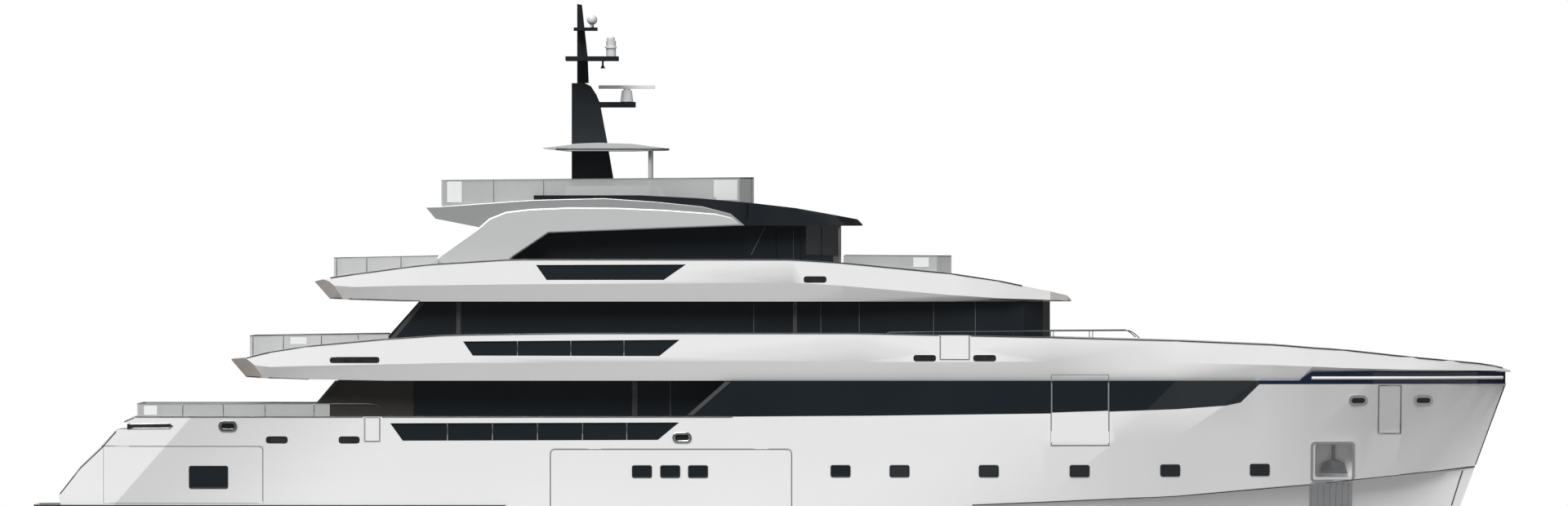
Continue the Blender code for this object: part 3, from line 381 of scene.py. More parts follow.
def slices(low, high, step):  # even places between two ends
    count = max(1, math.ceil((high - low) / step))
    return [low + (high - low) * k / count for k in range(1, count)]


def run(ends, step):  # the same with the ends
    low, high = ends
    return [low] + slices(low, high, step) + [high]


def sliceUp(outline, step):  # edges across a plate, so that it can follow a curved side
    for axis, places in zip((Vector((1, 0, 0)), Vector((0, 0, 1))), zip(*outline)):
        for place in slices(min(places), max(places), step):
            selectAll()
            bpy.ops.mesh.bisect(plane_co=axis * place, plane_no=axis)


def wrapOnto(piece, target, lift):  # along Y, from starboard
    apply(piece, "SHRINKWRAP", target=target, wrap_method="PROJECT", use_project_y=True,
          use_negative_direction=True, use_positive_direction=True, wrap_mode="ABOVE_SURFACE", offset=lift)
    missed = drawing["abeam"] + 0.1  # a vertex still out here met nothing and takes the nearest one's y
    landed = [vertex for vertex in piece.data.vertices if vertex.co.y > missed]
    for vertex in piece.data.vertices:
        if vertex.co.y <= missed:
            nearest = min(landed, key=lambda other: (other.co.xz - vertex.co.xz).length)
            vertex.co.y = nearest.co.y


def thicken(piece, thick):  # outwards, to starboard
    choose(piece)
    editMode()
    selectAll()
    pull(0, -thick, 0)
    editMode(False)


def sidePlate(name, outline, target, lift, thick, step=0.4, rim=0):  # lies on the side; with a rim, a frame
    piece = drawPlate(name, [(x, drawing["abeam"], z) for x, z in outline])
    if rim:
        bpy.ops.mesh.inset(thickness=rim)
        bpy.ops.mesh.delete(type="FACE")
    settleInEdit(piece)
    sliceUp(outline, step)
    editMode(False)
    wrapOnto(piece, target, lift)
    thicken(piece, thick)
    return piece


def skinOf(node):
    return bpy.data.objects[node + "_skin"]


def sideOf(target, x, z):  # y of the starboard side at a place
    hit, place, *rest = target.ray_cast((x, rays["abeam"], z), (0, 1, 0))
    return place.y if hit else None


def topOf(target, x, y):
    hit, place, *rest = target.ray_cast((x, y, rays["above"]), (0, 0, -1))
    return place.z if hit else None


def sideBetween(skin, x, zLow, zHigh, z):  # y of the side across a cut, from the metal above and below it
    while sideOf(skin, x, zLow) is None:
        zLow -= 0.01
    while sideOf(skin, x, zHigh) is None:
        zHigh += 0.01
    low, high = sideOf(skin, x, zLow), sideOf(skin, x, zHigh)
    return low + (high - low) * (z - zLow) / (zHigh - zLow)


def roundRect(xLow, xHigh, zLow, zHigh, corner=0.0, steps=4):
    if not corner:
        return [(xLow, zLow), (xHigh, zLow), (xHigh, zHigh), (xLow, zHigh)]
    points = []
    for cx, cz, start in ((xHigh - corner, zLow + corner, -90), (xHigh - corner, zHigh - corner, 0),
                          (xLow + corner, zHigh - corner, 90), (xLow + corner, zLow + corner, 180)):
        for k in range(steps + 1):
            angle = math.radians(start + 90 * k / steps)
            points.append((cx + corner * math.cos(angle), cz + corner * math.sin(angle)))
    return points


def sideRect(left, top, right, bottom, corner=0.0):  # the same from places on the drawing
    return roundRect(spotX(left), spotX(right), spotZ(bottom), spotZ(top), corner * drawing["unit"])


def tube(name, points, radius, sides=8, closed=False):  # a bent rail or stay
    bpy.ops.object.select_all(action="DESELECT")
    bpy.ops.curve.primitive_nurbs_path_add()
    piece = begin(name)
    piece.data.splines.clear()
    line = piece.data.splines.new("POLY")
    line.points.add(len(points) - 1)
    for place, point in zip(line.points, points):
        place.co = (*point, 1)
    line.use_cyclic_u = closed
    piece.data.bevel_depth = radius
    piece.data.bevel_resolution = max(1, sides // 4)
    piece.data.use_fill_caps = True
    choose(piece)
    bpy.ops.object.convert(target="MESH")
    return begin(name)


def turned(name, profile, centre, steps):  # a profile of radius and height spun upright
    piece = drawLine(name, [(centre[0] + r, centre[1], centre[2] + h) for r, h in profile])
    settleInEdit(piece)
    selectAll()
    bpy.ops.mesh.spin(steps=steps, angle=math.tau, center=centre, axis=(0, 0, 1))
    editMode(False)
    return piece


def blockPiece(name, low, high, corner=0.0, segments=2):
    bpy.ops.object.select_all(action="DESELECT")
    middle = [(a + b) / 2 for a, b in zip(low, high)]
    bpy.ops.mesh.primitive_cube_add(size=1, location=middle, scale=[b - a for a, b in zip(low, high)])
    piece = begin(name)
    settle(piece)
    if corner:
        editMode()
        selectAll()
        bpy.ops.mesh.bevel(offset=corner, segments=segments)
        editMode(False)
    return piece


def joined(name, pieces):
    choose(pieces[0])
    for piece in pieces:
        piece.select_set(True)
    bpy.ops.object.join()
    return begin(name)


# Bodywork: each painted node gets a welded, smooth-shaded skin, and flat ones a finish on the node itself

skins = {
    # node: finish, edge round in millimetres, angle that stays sharp
    "hull": ("hullPaint", 6, 24),
    "upper_band": ("topsidePaint", 6, 20),
    "bridge_band": ("topsidePaint", 6, 20),
    "roof": ("roofDark", 8, 24),
    # the sun deck takes the silver with painted shade, the hardtop the silver with painted light
    "sun_deck": ("archSilver", 6, 24),
    "hardtop": ("legSilver", 4, 30),
    "sun_console": ("topsidePaint", 10, 30),
    "mast_lower": ("roofDark", 8, 28),
    "mast_upper": ("roofDark", 3, 28),
    "bow_groove": ("navyPaint", 0, 24),
    "swim_platform": ("darkRubber", 6, 30),
    "transom_door": ("topsidePaint", 4, 30),
    "radar_scanner": ("radarWhite", 5, 30),
}
nodeFinishes = {
    "laidTeak": ["main_deck", "upper_deck", "bridge_deck"],
    "tintedGlass": ["cabin_glass"],
    "houseGlass": ["main_saloon", "upper_house", "bridge_house"],
    "clearGlass": ["main_balustrade", "bridge_screen", "windscreen"],
    # the upper and bridge walls take the clear glass with painted light
    "paleGlass": ["upper_balustrade", "bridge_balustrade"],
    "smokedGlass": ["wing_screen_port", "wing_screen_stbd"],
}
for side in sides:
    skins[f"beach_door_{side}"] = ("hullPaint", 2, 24)
    for part in ("garage_door", "boarding_door", "bow_gate", "main_gate", "upper_gate"):
        skins[f"{part}_{side}"] = ("topsidePaint", 2, 24)
    for part in ("rudder", "fin"):
        skins[f"{part}_{side}"] = ("antifouling", 4, 30)
    for part in ("propeller", "shaft_bracket"):
        skins[f"{part}_{side}"] = ("castBronze", 0, 35)
    skins[f"anchor_{side}"] = ("polishedSteel", 3, 30)
    for part in ("wing_door", "main_saloon_door", "upper_house_door", "bridge_house_door"):
        nodeFinishes["houseGlass"].append(f"{part}_{side}")
edgeMargin = 8  # degrees that an edge must be sharper than the smooth ones to be rounded

for node, (finish, edge, sharp) in skins.items():
    piece = cadNodes[node].copy()
    piece.data = piece.data.copy()
    piece.name = piece.data.name = node + "_skin"
    for key in list(piece.keys()):
        del piece[key]
    piece.parent = None
    bpy.context.scene.collection.objects.link(piece)
    choose(piece)
    editMode()
    selectAll()
    bpy.ops.mesh.remove_doubles(threshold=0.0001)
    editMode(False)
    if edge:
        roundEdges(piece, edge / 1000, sharp + edgeMargin)
    smooth(sharp)
    weigh(piece)
    dress(piece, finish)
    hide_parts(node)
    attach(piece, bodyOf[node])
for finish, members in nodeFinishes.items():
    for node in members:
        dress(cadNodes[node], finish)
print("skins:", len(skins), "finished nodes:", sum(len(members) for members in nodeFinishes.values()))


# The aft ends of the bands are cut to a slanted facet at each corner

endFacets = {
    # head and foot of the facet's fore edge and the tip, on the drawing, and how far inboard the facet runs
    "upper_band": ((304.5, 440.5), (322.0, 461.5), (285.0, 440.5), 0.50),
    "bridge_band": ((405.5, 346.0), (420.0, 365.0), (387.0, 345.5), 0.46),
}

for node, (head, foot, tip, inboard) in endFacets.items():
    skin = skinOf(node)
    corners = [Vector((x, sideOf(skin, x, z), z)) for x, z in (spot(*head), spot(*foot))]
    x, z = spot(*tip)
    corners.append(Vector((x, corners[0].y + inboard, z)))
    for sign in sides.values():
        a, b, c = [Vector((corner.x, -sign * corner.y, corner.z)) for corner in corners]
        square = (b - a).cross(c - a)
        if square.x > 0:
            square.negate()
        choose(skin)
        editMode()
        selectAll()
        bpy.ops.mesh.bisect(plane_co=a, plane_no=square, use_fill=True, clear_outer=True)
        editMode(False)
    smooth(skins[node][2])
    weigh(skin)
print("band ends cut")
hullSkin = skinOf("hull")
upperSkin = skinOf("upper_band")

# finish and slot of much that follows
steel = ("polishedSteel", "stainless")
black = ("frameBlack", "dark_paint")
darkGlass = ("tintedGlass", "dark_glass")
sealant = ("jointGrey", "dark_rubber")


# Shell doors: a rubber seam round each leaf

seams = {"width": 0.012, "lift": 0.0015, "thick": 0.002, "step": 0.3}
doorEdges = {
    # leaf: left, top, right, bottom and corner on the drawing
    "garage_door": (674.6, 549.6, 969.4, 630.6, 5.5),
    "boarding_door": (1286.0, 458.4, 1356.9, 545.4, 1.2),
    "bow_gate": (1687.6, 472.0, 1715.4, 531.4, 1.2),
    "main_gate": (447.9, 510.7, 466.5, 540.4, 1.5),
    "upper_gate": (1150.6, 409.8, 1186.4, 440.4, 1.2),
}

for leaf, edges in doorEdges.items():
    on = leaf + "_stbd"
    ring = sidePlate(f"{leaf}SeamStbd", sideRect(*edges), skinOf(on), seams["lift"], seams["thick"],
                     rim=seams["width"])
    bothSides(ring, *sealant, on)
print("door seams:", 2 * len(doorEdges))


# Windows that lie on the side: portholes, garage and quarter windows

sideWindows = {
    # size and middles on the drawing
    "porthole": {"size": (24.5, 15.0), "on": "hull",
                 "at": ((1029, 576.5), (1101, 576.5), (1210, 576.5), (1321, 576.5), (1432, 576),
                        (1542, 575.5))},
    "garageWindow": {"size": (24.5, 15.5), "on": "garage_door_stbd",
                     "at": ((786.5, 577), (821, 577), (855, 577))},
    "quarterWindow": {"size": (48, 28), "on": "beach_door_stbd", "at": ((257, 584),)},
}
windowParts = {
    # finish, slot, lift off the side, thickness, rim width and edge round
    "Glass": (*darkGlass, 0.002, 0.003, 0, 0),
    "Frame": (*black, 0.001, 0.010, 0.022, 0.002),
}
windowSize = {"corner": 2.6, "step": 0.15}

for name, window in sideWindows.items():
    wide, high = window["size"]
    for number, (across, down) in enumerate(window["at"], 1):
        outline = sideRect(across - wide / 2, down - high / 2, across + wide / 2, down + high / 2,
                           windowSize["corner"])
        for part, (finish, slot, lift, thick, rim, soften) in windowParts.items():
            piece = sidePlate(f"{name}{number}{part}Stbd", outline, skinOf(window["on"]), lift, thick,
                              windowSize["step"], rim)
            bothSides(piece, finish, slot, bodyOf[window["on"]], soften=soften)
print("side windows:", 2 * sum(len(window["at"]) for window in sideWindows.values()))


# Glass that fills a cut in a bulwark, bay by bay, with light bars between the bays

cutGlass = {
    # node, corners from the top left, and bars, on the drawing
    "bulwarkGlass": ("hull", ((479.4, 518.3), (831.6, 517.4), (806.2, 538.2), (495, 539.2)),
                     (549, 604, 659, 714, 768)),
    "upperGlass": ("upper_band", ((568.4, 418.3), (832, 416.4), (807, 435.7), (580.4, 435.2)),
                   (634.5, 699.7, 764.6)),
    "bridgeGlass": ("bridge_band", ((657.4, 324.9), (839.8, 324.3), (812.4, 342.7), (670.4, 342.7)), ()),
}
glazing = {"sink": 0.030, "thick": 0.012, "gap": 0.5, "barHalf": 0.009, "barOut": 0.008, "barIn": 0.014,
           "round": 0.003}


def edgeAt(across, corners, top):  # the drawing height of a window's head or sill
    (x0, y0), (x1, y1) = (corners[0], corners[1]) if top else (corners[3], corners[2])
    return y0 + (y1 - y0) * (across - x0) / (x1 - x0)


def glassSpot(skin, corners, across, down):  # a little inboard of the side as it would run across the cut
    x, z = spot(across, down)
    low, high = (spotZ(edgeAt(across, corners, top)) for top in (False, True))
    return x, sideBetween(skin, x, low, high, z) + glazing["sink"], z


for name, (on, corners, bars) in cutGlass.items():
    skin = skinOf(on)
    topLeft, topRight, footRight, footLeft = corners
    ends = (topLeft[0], *bars, topRight[0])
    for number, (left, right) in enumerate(zip(ends, ends[1:]), 1):
        first, last = number == 1, number == len(bars) + 1
        aft, fore = left + glazing["gap"], right - glazing["gap"]
        places = [topLeft if first else (aft, edgeAt(left, corners, True)),
                  topRight if last else (fore, edgeAt(right, corners, True)),
                  footRight if last else (fore, edgeAt(right, corners, False)),
                  footLeft if first else (aft, edgeAt(left, corners, False))]
        points = [glassSpot(skin, corners, *place) for place in places]
        bothSides(slab(f"{name}{number}Stbd", points, glazing["thick"]), *darkGlass)
    for number, across in enumerate(bars, 1):
        x, y, foot = glassSpot(skin, corners, across, edgeAt(across, corners, False))
        bar = blockPiece(f"{name}Mullion{number}Stbd", (x - glazing["barHalf"], y - glazing["barOut"], foot),
                         (x + glazing["barHalf"], y + glazing["barIn"], spotZ(edgeAt(across, corners, True))),
                         glazing["round"])
        bothSides(bar, *steel)
print("bulwark and band windows:", len(cutGlass))


# Dark plates set just inside the freeing ports and slots: painted shade of the openings

shadedOpenings = {
    # node, then left, top, right and bottom on the drawing
    "freeingPortAft": ("hull", 327.3, 534.3, 353.7, 542.7),
    "freeingPortFore": ("hull", 416.3, 534.3, 441.7, 542.7),
    "upperSlotAft": ("upper_band", 405.3, 437.3, 465.7, 444.7),
    "upperSlotMid": ("upper_band", 1118.3, 434.9, 1145.3, 442.3),
    "upperSlotFore": ("upper_band", 1191.3, 434.9, 1218.7, 442.3),
    "bridgeSlot": ("bridge_band", 984.3, 338.8, 1011.7, 346.2),
}
shadePlateSize = {"corner": 3.4, "sink": 0.018, "thick": 0.02, "round": 0.004}

for name, (on, left, top, right, bottom) in shadedOpenings.items():
    low, high = spotZ(bottom), spotZ(top)
    y = sideBetween(skinOf(on), spotX((left + right) / 2), low, high, (low + high) / 2) + shadePlateSize["sink"]
    outline = sideRect(left, top, right, bottom, shadePlateSize["corner"])
    # painted shade: a black plate in place of the dark inside the opening
    shadePlate = slab(name + "Stbd", [(x, y, z) for x, z in outline], shadePlateSize["thick"])
    bothSides(shadePlate, *black, soften=shadePlateSize["round"])
print("drain flaps:", 2 * len(shadedOpenings))


# Fairleads: a polished oval ring round a dark eye, a black plate that is painted shade of the opening: set
# inside the opening aft, and laid on the side at the bow

fairleads = {
    # left, top, right, bottom and ring width on the drawing
    "fairleadAft": (269, 515.2, 292, 528, 3.0), "fairleadMid": (823.5, 529, 847.4, 542, 3.0),
    "fairleadBowAft": (1651, 484.2, 1674, 497, 3.2), "fairleadBowFore": (1731.5, 484.2, 1755, 497, 3.2),
}
fairleadSize = {"corner": 6.2, "eyeCorner": 3.3, "depth": 0.045, "eyeThick": 0.012, "proud": 0.022,
                "round": 0.008, "margin": 0.03, "cornerMargin": 0.02}


def wrapFairlead(ring, outline):  # the ring lies on the metal round the opening
    (aft, fore), (low, high) = ((min(places), max(places)) for places in zip(*outline))
    out = fairleadSize["cornerMargin"]
    aftLow, aftHigh = (sideOf(hullSkin, aft - out, z) for z in (low - out, high + out))
    foreLow, foreHigh = (sideOf(hullSkin, fore + out, z) for z in (low - out, high + out))
    for vertex in ring.data.vertices:
        across = (vertex.co.x - aft) / (fore - aft)
        up = (vertex.co.z - low) / (high - low)
        foot = aftLow * (1 - across) + foreLow * across
        head = aftHigh * (1 - across) + foreHigh * across
        vertex.co.y = foot * (1 - up) + head * up - 0.001


for name, (left, top, right, bottom, width) in fairleads.items():
    outline = sideRect(left, top, right, bottom, fairleadSize["corner"])
    inner = sideRect(left + width, top + width, right - width, bottom - width, fairleadSize["eyeCorner"])
    # the black eye is painted shade, in place of the dark of the opening
    if "Bow" in name:
        eye = sidePlate(name + "EyeStbd", inner, hullSkin, 0.002, 0.002, 0.1)
    else:
        aft = min(x for x, z in outline) - fairleadSize["margin"]
        y = sideOf(hullSkin, aft, outline[0][1]) + fairleadSize["depth"]
        eye = slab(name + "EyeStbd", [(x, y, z) for x, z in inner], fairleadSize["eyeThick"])
    bothSides(eye, *black)
    ring = drawPlate(name + "Stbd", [(x, drawing["abeam"], z) for x, z in outline])
    bpy.ops.mesh.inset(thickness=width * drawing["unit"])
    bpy.ops.mesh.delete(type="FACE")
    editMode(False)
    settle(ring)
    wrapFairlead(ring, outline)
    thicken(ring, fairleadSize["proud"])
    bothSides(ring, *steel, sharp=35, soften=fairleadSize["round"])
print("fairleads:", 2 * len(fairleads))


# The seam of the folding beach terrace along its head and fore edge, and its line carried aft on the quarter

terraceSeams = {
    "terraceSeam": ("beach_door_stbd",
                    ((160, 546.3), (318.5, 546.3), (322, 547.6), (323.4, 551), (323.4, 613))),
    "terraceLine": ("hull", ((126.5, 546.0), (143.0, 546.0))),
}


def seamStrip(name, places, skin):  # a thin strip over the side, from place to place on the drawing
    points = [Vector((x, drawing["abeam"], z)) for x, z in (spot(*place) for place in places)]
    parts = []
    for here, ahead in zip(points, points[1:]):
        along = ahead - here
        square = Vector((-along.z, 0, along.x)).normalized() * seams["width"] / 2
        part = drawPlate(name, [here + square, ahead + square, ahead - square, here - square])
        settleInEdit(part)
        sliceUp([(here.x, 0), (ahead.x, 0)], seams["step"])
        editMode(False)
        parts.append(part)
    strip = joined(name, parts)
    wrapOnto(strip, skin, seams["lift"])
    thicken(strip, seams["thick"])
    return strip


for name, (on, places) in terraceSeams.items():
    bothSides(seamStrip(name + "Stbd", places, skinOf(on)), *sealant, bodyOf[on])


# The boarding door crosses the cabin glass: its upper part is glass too

boardingGlass = ((1287.2, 505.0), (1355.8, 502.8), (1355.8, 466.5), (1287.2, 466.5))

outline = [spot(*place) for place in boardingGlass]
pane = sidePlate("boardingGlassStbd", outline, skinOf("boarding_door_stbd"), 0.0005, 0.0015, 0.2)
bothSides(pane, *darkGlass, "boarding_door_stbd")
print("terrace seams and boarding glass done")


# Top rails, posts and cap rails

rails = {"radius": 0.010, "lift": 0.004, "screenLift": 0.003, "glassHalf": 0.010, "sharp": 40}


def glassLine(glass, xs, level, slope=0.0):  # middle of a glass wall's top edge, along starboard
    points = []
    for x in xs:
        outer = sideOf(glass, x, level + slope * (x - xs[0]))
        top = topOf(glass, x, outer + rails["glassHalf"]) if outer else None
        if top:
            points.append((x, outer + rails["glassHalf"], top))
    return points


def railRound(name, line, lift, radius, closed=False, slot="stainless"):  # out along a line and back to port
    whole = line + [(x, -y, z) for x, y, z in reversed(line)]
    rail = tube(name, [(x, y, z + lift) for x, y, z in whole], radius, closed=closed)
    finishPiece(rail, "frameBlack", slot, sharp=rails["sharp"])


def railPair(name, points, radius, finish="frameBlack", slot="dark_rubber", sides=8):
    bothSides(tube(name, points, radius, sides), finish, slot, sharp=rails["sharp"])


def railEnd(line, end):  # the rail's last point, at an x and so far inboard
    x, inboard = end
    return x, line[-1][1] + inboard, line[-1][2]


glassWalls = {
    # ends of the side run in x, the rail's turn at the stern, a level in the glass, its slope, and the posts
    "main": {"ends": (-8.15, -11.62), "turn": (-11.655, 0.05), "level": 2.03, "slope": 0.0,
             "posts": (225.5, 275, 326, 386)},
    "upper": {"ends": (-7.10, -9.57), "turn": (-9.595, 0.05), "level": 3.38, "slope": 0.0146,
              "posts": (311, 348.5, 395, 440)},
    "bridge": {"ends": (-6.20, -8.03), "turn": (-8.055, 0.05), "level": 4.82, "slope": 0.020,
               "posts": (413, 450, 492)},
}
railShares = (0.2, 0.4, 0.55, 0.7, 0.8, 0.88, 0.93, 0.97)  # closer together where the glass curves
glassPost = {"half": 0.007, "deep": 0.020, "round": 0.003, "near": 0.9}

for name, wall in glassWalls.items():
    glass = cadNodes[name + "_balustrade"]
    fore, aft = wall["ends"]
    xs = [fore] + [fore + (aft - fore) * share for share in railShares] + [aft]
    line = glassLine(glass, xs, wall["level"], wall["slope"])
    line.append(railEnd(line, wall["turn"]))
    railRound(name + "TopRail", line, rails["lift"], rails["radius"])
    half, deep = glassPost["half"], glassPost["deep"]
    for number, across in enumerate(wall["posts"], 1):
        x = spotX(across)
        level = wall["level"] + wall["slope"] * (x - fore)
        (x, y, z), = glassLine(glass, [x], level)
        foot = min(vertex.co.z for vertex in glass.data.vertices if abs(vertex.co.x - x) < glassPost["near"])
        post = blockPiece(f"{name}Post{number}Stbd", (x - half, y - deep, foot + 0.001),
                          (x + half, y + deep, z), glassPost["round"])
        bothSides(post, *steel)


# the main rail runs on past the glass and turns down to the bulwark
mainRailEnd = {
    "points": ((-8.15, 2.150), (-7.45, 2.150), (-7.28, 2.135), (-7.19, 2.08), (-7.13, 1.99), (-7.10, 1.925)),
    "level": 1.42, "inboard": 0.06,
}

points = [(x, sideOf(hullSkin, x, mainRailEnd["level"]) + mainRailEnd["inboard"], z + rails["lift"])
          for x, z in mainRailEnd["points"]]
points[0] = (points[0][0], points[1][1], points[0][2])
railPair("mainRailEndStbd", points, rails["radius"], slot="stainless")

foreRail = {
    "points": ((1085, 408.6), (1090, 407), (1146, 406.4), (1200, 406.1), (1290, 405.3), (1381, 404.8),
               (1387, 407.5), (1394, 414)),
    "posts": (1149, 1188.5, 1240, 1289, 1337), "postHead": 405.6,
    "radius": 0.009, "postRadius": 0.0072, "inboard": 0.065, "level": 3.25,
}


def inboard(x):
    return sideOf(upperSkin, x, foreRail["level"]) + foreRail["inboard"]


points = []
for x, z in (spot(*place) for place in foreRail["points"]):
    y = inboard(x)
    points.append((x, y, max(z, topOf(upperSkin, x, y) + rails["lift"])))
parts = [tube("foreDeckRailStbd", points, foreRail["radius"])]
for across in foreRail["posts"]:
    x, z = spot(across, foreRail["postHead"])
    y = inboard(x)
    post = [(x, y, topOf(upperSkin, x, y) - 0.002), (x, y, z)]
    parts.append(tube("foreDeckPost", post, foreRail["postRadius"]))
bothSides(joined("foreDeckRailStbd", parts), "frameBlack", "stainless", sharp=rails["sharp"])

screenRail = {
    "xs": (-5.98, -5.85, -5.7, -4.4, -3.0, -1.6, -1.22, -1.05, -0.93, -0.80, -0.68, -0.59, -0.51, -0.455,
           -0.41, -0.385),
    "level": 6.15, "aft": (-6.075, 0.16), "fore": (-0.368, 0.25), "radius": 0.011,
    "joints": (605, 666), "jointHalf": 0.006, "jointDeep": 0.013, "inboard": -1.80,
}

screen = cadNodes["windscreen"]
line = glassLine(screen, screenRail["xs"], screenRail["level"])
line = [railEnd(line[:1], screenRail["aft"])] + line + [railEnd(line, screenRail["fore"])]
railRound("windscreenTopRail", line, rails["screenLift"], screenRail["radius"], True)
half, deep, inboard = screenRail["jointHalf"], screenRail["jointDeep"], screenRail["inboard"]
for number, across in enumerate(screenRail["joints"], 1):
    (x, y, z), = glassLine(screen, [spotX(across)], screenRail["level"])
    foot = topOf(skinOf("sun_deck"), x, inboard) or topOf(skinOf("roof"), x, inboard)
    joint = blockPiece(f"windscreenJoint{number}Stbd", (x - half, y - deep, foot + 0.002),
                       (x + half, y + deep, z), 0.002)
    bothSides(joint, *sealant)

bridgeScreenRail = {
    "xs": (1.32, 1.8, 2.3, 2.6, 2.9, 3.02, 3.12, 3.18, 3.23, 3.25), "level": 4.80, "fore": (3.262, 0.1),
}

line = glassLine(cadNodes["bridge_screen"], bridgeScreenRail["xs"], bridgeScreenRail["level"])
line.append(railEnd(line, bridgeScreenRail["fore"]))
railRound("bridgeScreenRail", line, rails["screenLift"], rails["radius"])

capRails = {
    # node, aft and fore end, and a height where the side is sure to be met
    "mainCapAft": ("hull", (-11.70, -7.52), 1.80),
    "mainCapFore": ("hull", (-7.17, -0.75), 1.40),
    "upperCapAft": ("upper_band", (-9.66, 3.03), 2.86),
    "upperCapFore": ("upper_band", (3.62, 13.42), 2.80),
    "bridgeCap": ("bridge_band", (-8.12, 5.35), 4.30),
}
capRail = {"radius": 0.011, "step": 0.4, "inboard": 0.05, "below": 0.02, "sink": 0.003}

for name, (on, ends, level) in capRails.items():
    skin = skinOf(on)
    points = []
    for x in run(ends, capRail["step"]):
        side = sideOf(skin, x, level)
        top = topOf(skin, x, side + capRail["inboard"]) if side else None
        edge = sideOf(skin, x, top - capRail["below"]) if top else None
        if edge:
            points.append((x, edge - capRail["sink"], top - capRail["sink"]))
    railPair(name + "Stbd", points, capRail["radius"])
print("rails done")


# The bow: white rail in the navy groove, anchor pocket frame and chafing plate

bowRail = {"height": 2.625, "radius": 0.030, "ends": (9.87, 13.42), "step": 0.35, "proud": 0.016}

groove, height = skinOf("bow_groove"), bowRail["height"]
places = run(bowRail["ends"], bowRail["step"])
points = [(x, sideOf(groove, x, height) - bowRail["proud"], height) for x in places]
railPair("bowRailStbd", points, bowRail["radius"], "topsidePaint", "white_paint", 12)

pocket = {
    "frame": (1604.5, 541, 1659, 590.5, 5), "width": 0.045, "thick": 0.014,
    "plate": (1603.5, 591.5, 1656.5, 642), "plateThick": 0.006,
    "ribs": 7, "ribWidth": 0.030, "ribThick": 0.012, "ribCorner": 0.012, "ribShort": 0.03,
}

ring = sidePlate("anchorPocketFrameStbd", sideRect(*pocket["frame"]), hullSkin, 0.001, pocket["thick"], 0.15,
                 pocket["width"])
bothSides(ring, *steel, soften=0.004)
plate = sidePlate("chafingPlateStbd", sideRect(*pocket["plate"]), hullSkin, 0.001, pocket["plateThick"], 0.08)
bothSides(plate, *steel)
left, top, right, bottom = pocket["plate"]
gap = (spotX(right) - spotX(left)) / pocket["ribs"]
half = pocket["ribWidth"] / 2
for number in range(pocket["ribs"]):
    middle = spotX(left) + gap * (number + 0.5)
    outline = roundRect(middle - half, middle + half, spotZ(bottom), spotZ(top) - pocket["ribShort"],
                        pocket["ribCorner"], 3)
    rib = sidePlate(f"chafingRib{number + 1}Stbd", outline, hullSkin, 0.007, pocket["ribThick"], 0.06)
    bothSides(rib, *steel)
print("bow fittings done")


# Deckhouse glass: upright joints, pillars and edge bands

housePanels = {
    # face y, low and high z, then joints and pillars with their widths, on the drawing
    "main": (-1.75, 1.39, 2.57, ((821, 0.8),), ((777.5, 6.5),)),
    "upper": (-1.72, 2.85, 4.02, ((923, 0.7), (1005, 0.7), (1052, 0.7), (1143, 0.7), (1194, 0.7)),
              ((562, 5.5), (973.5, 5.0))),
    "bridge": (-1.60, 4.29, 5.41, ((1027.5, 1.5),), ((971.5, 0.8),)),
}
panelBar = {"out": 0.006, "in": 0.002, "round": 0.0015}

for house, (face, low, high, joints, pillars) in housePanels.items():
    for kind, places, finish in (("Joint", joints, "jointGrey"), ("Pillar", pillars, "pillarGrey")):
        for number, (across, wide) in enumerate(places, 1):
            x, half = spotX(across), wide * drawing["unit"] / 2
            bar = blockPiece(f"{house}{kind}{number}Stbd", (x - half, face - panelBar["out"], low),
                             (x + half, face + panelBar["in"], high), panelBar["round"])
            bothSides(bar, finish, "dark_paint")

slants = {
    # a band between two places on the drawing, its width there, and the node it lies on or the y of its face
    "cabinPillar": {"line": ((891.5, 467.4), (845.5, 508)), "width": 7.0, "on": "cabin_glass",
                    "finish": "pillarGrey"},
    "upperEdge": {"line": ((517.5, 370.5), (481, 415)), "width": 6.0, "y": -1.7205, "finish": "pillarGrey"},
    "bridgeSeam": {"line": ((937, 277.5), (920, 312)), "width": 0.9, "y": -1.6005, "finish": "jointGrey"},
    "wingEdge": {"line": ((413, 467.5), (377, 508)), "width": 3.0, "y": -1.7505, "finish": "pillarGrey"},
}
slantThick = 0.004

for name, slant in slants.items():
    (x0, z0), (x1, z1) = (spot(*place) for place in slant["line"])
    half = slant["width"] * drawing["unit"] / 2
    outline = [(x1 - half, z1), (x1 + half, z1), (x0 + half, z0), (x0 - half, z0)]
    if "on" in slant:
        bar = sidePlate(name + "Stbd", outline, cadNodes[slant["on"]], 0.001, slantThick, 0.2)
    else:
        bar = slab(name + "Stbd", [(x, slant["y"], z) for x, z in outline], -slantThick)
    bothSides(bar, slant["finish"], "dark_paint")
print("deckhouse panels done")


# The silver arches: a thin wing with its aft spur in a darker silver that is painted shade, and the curved
# leg that stands proud of it in a lighter silver that is painted light

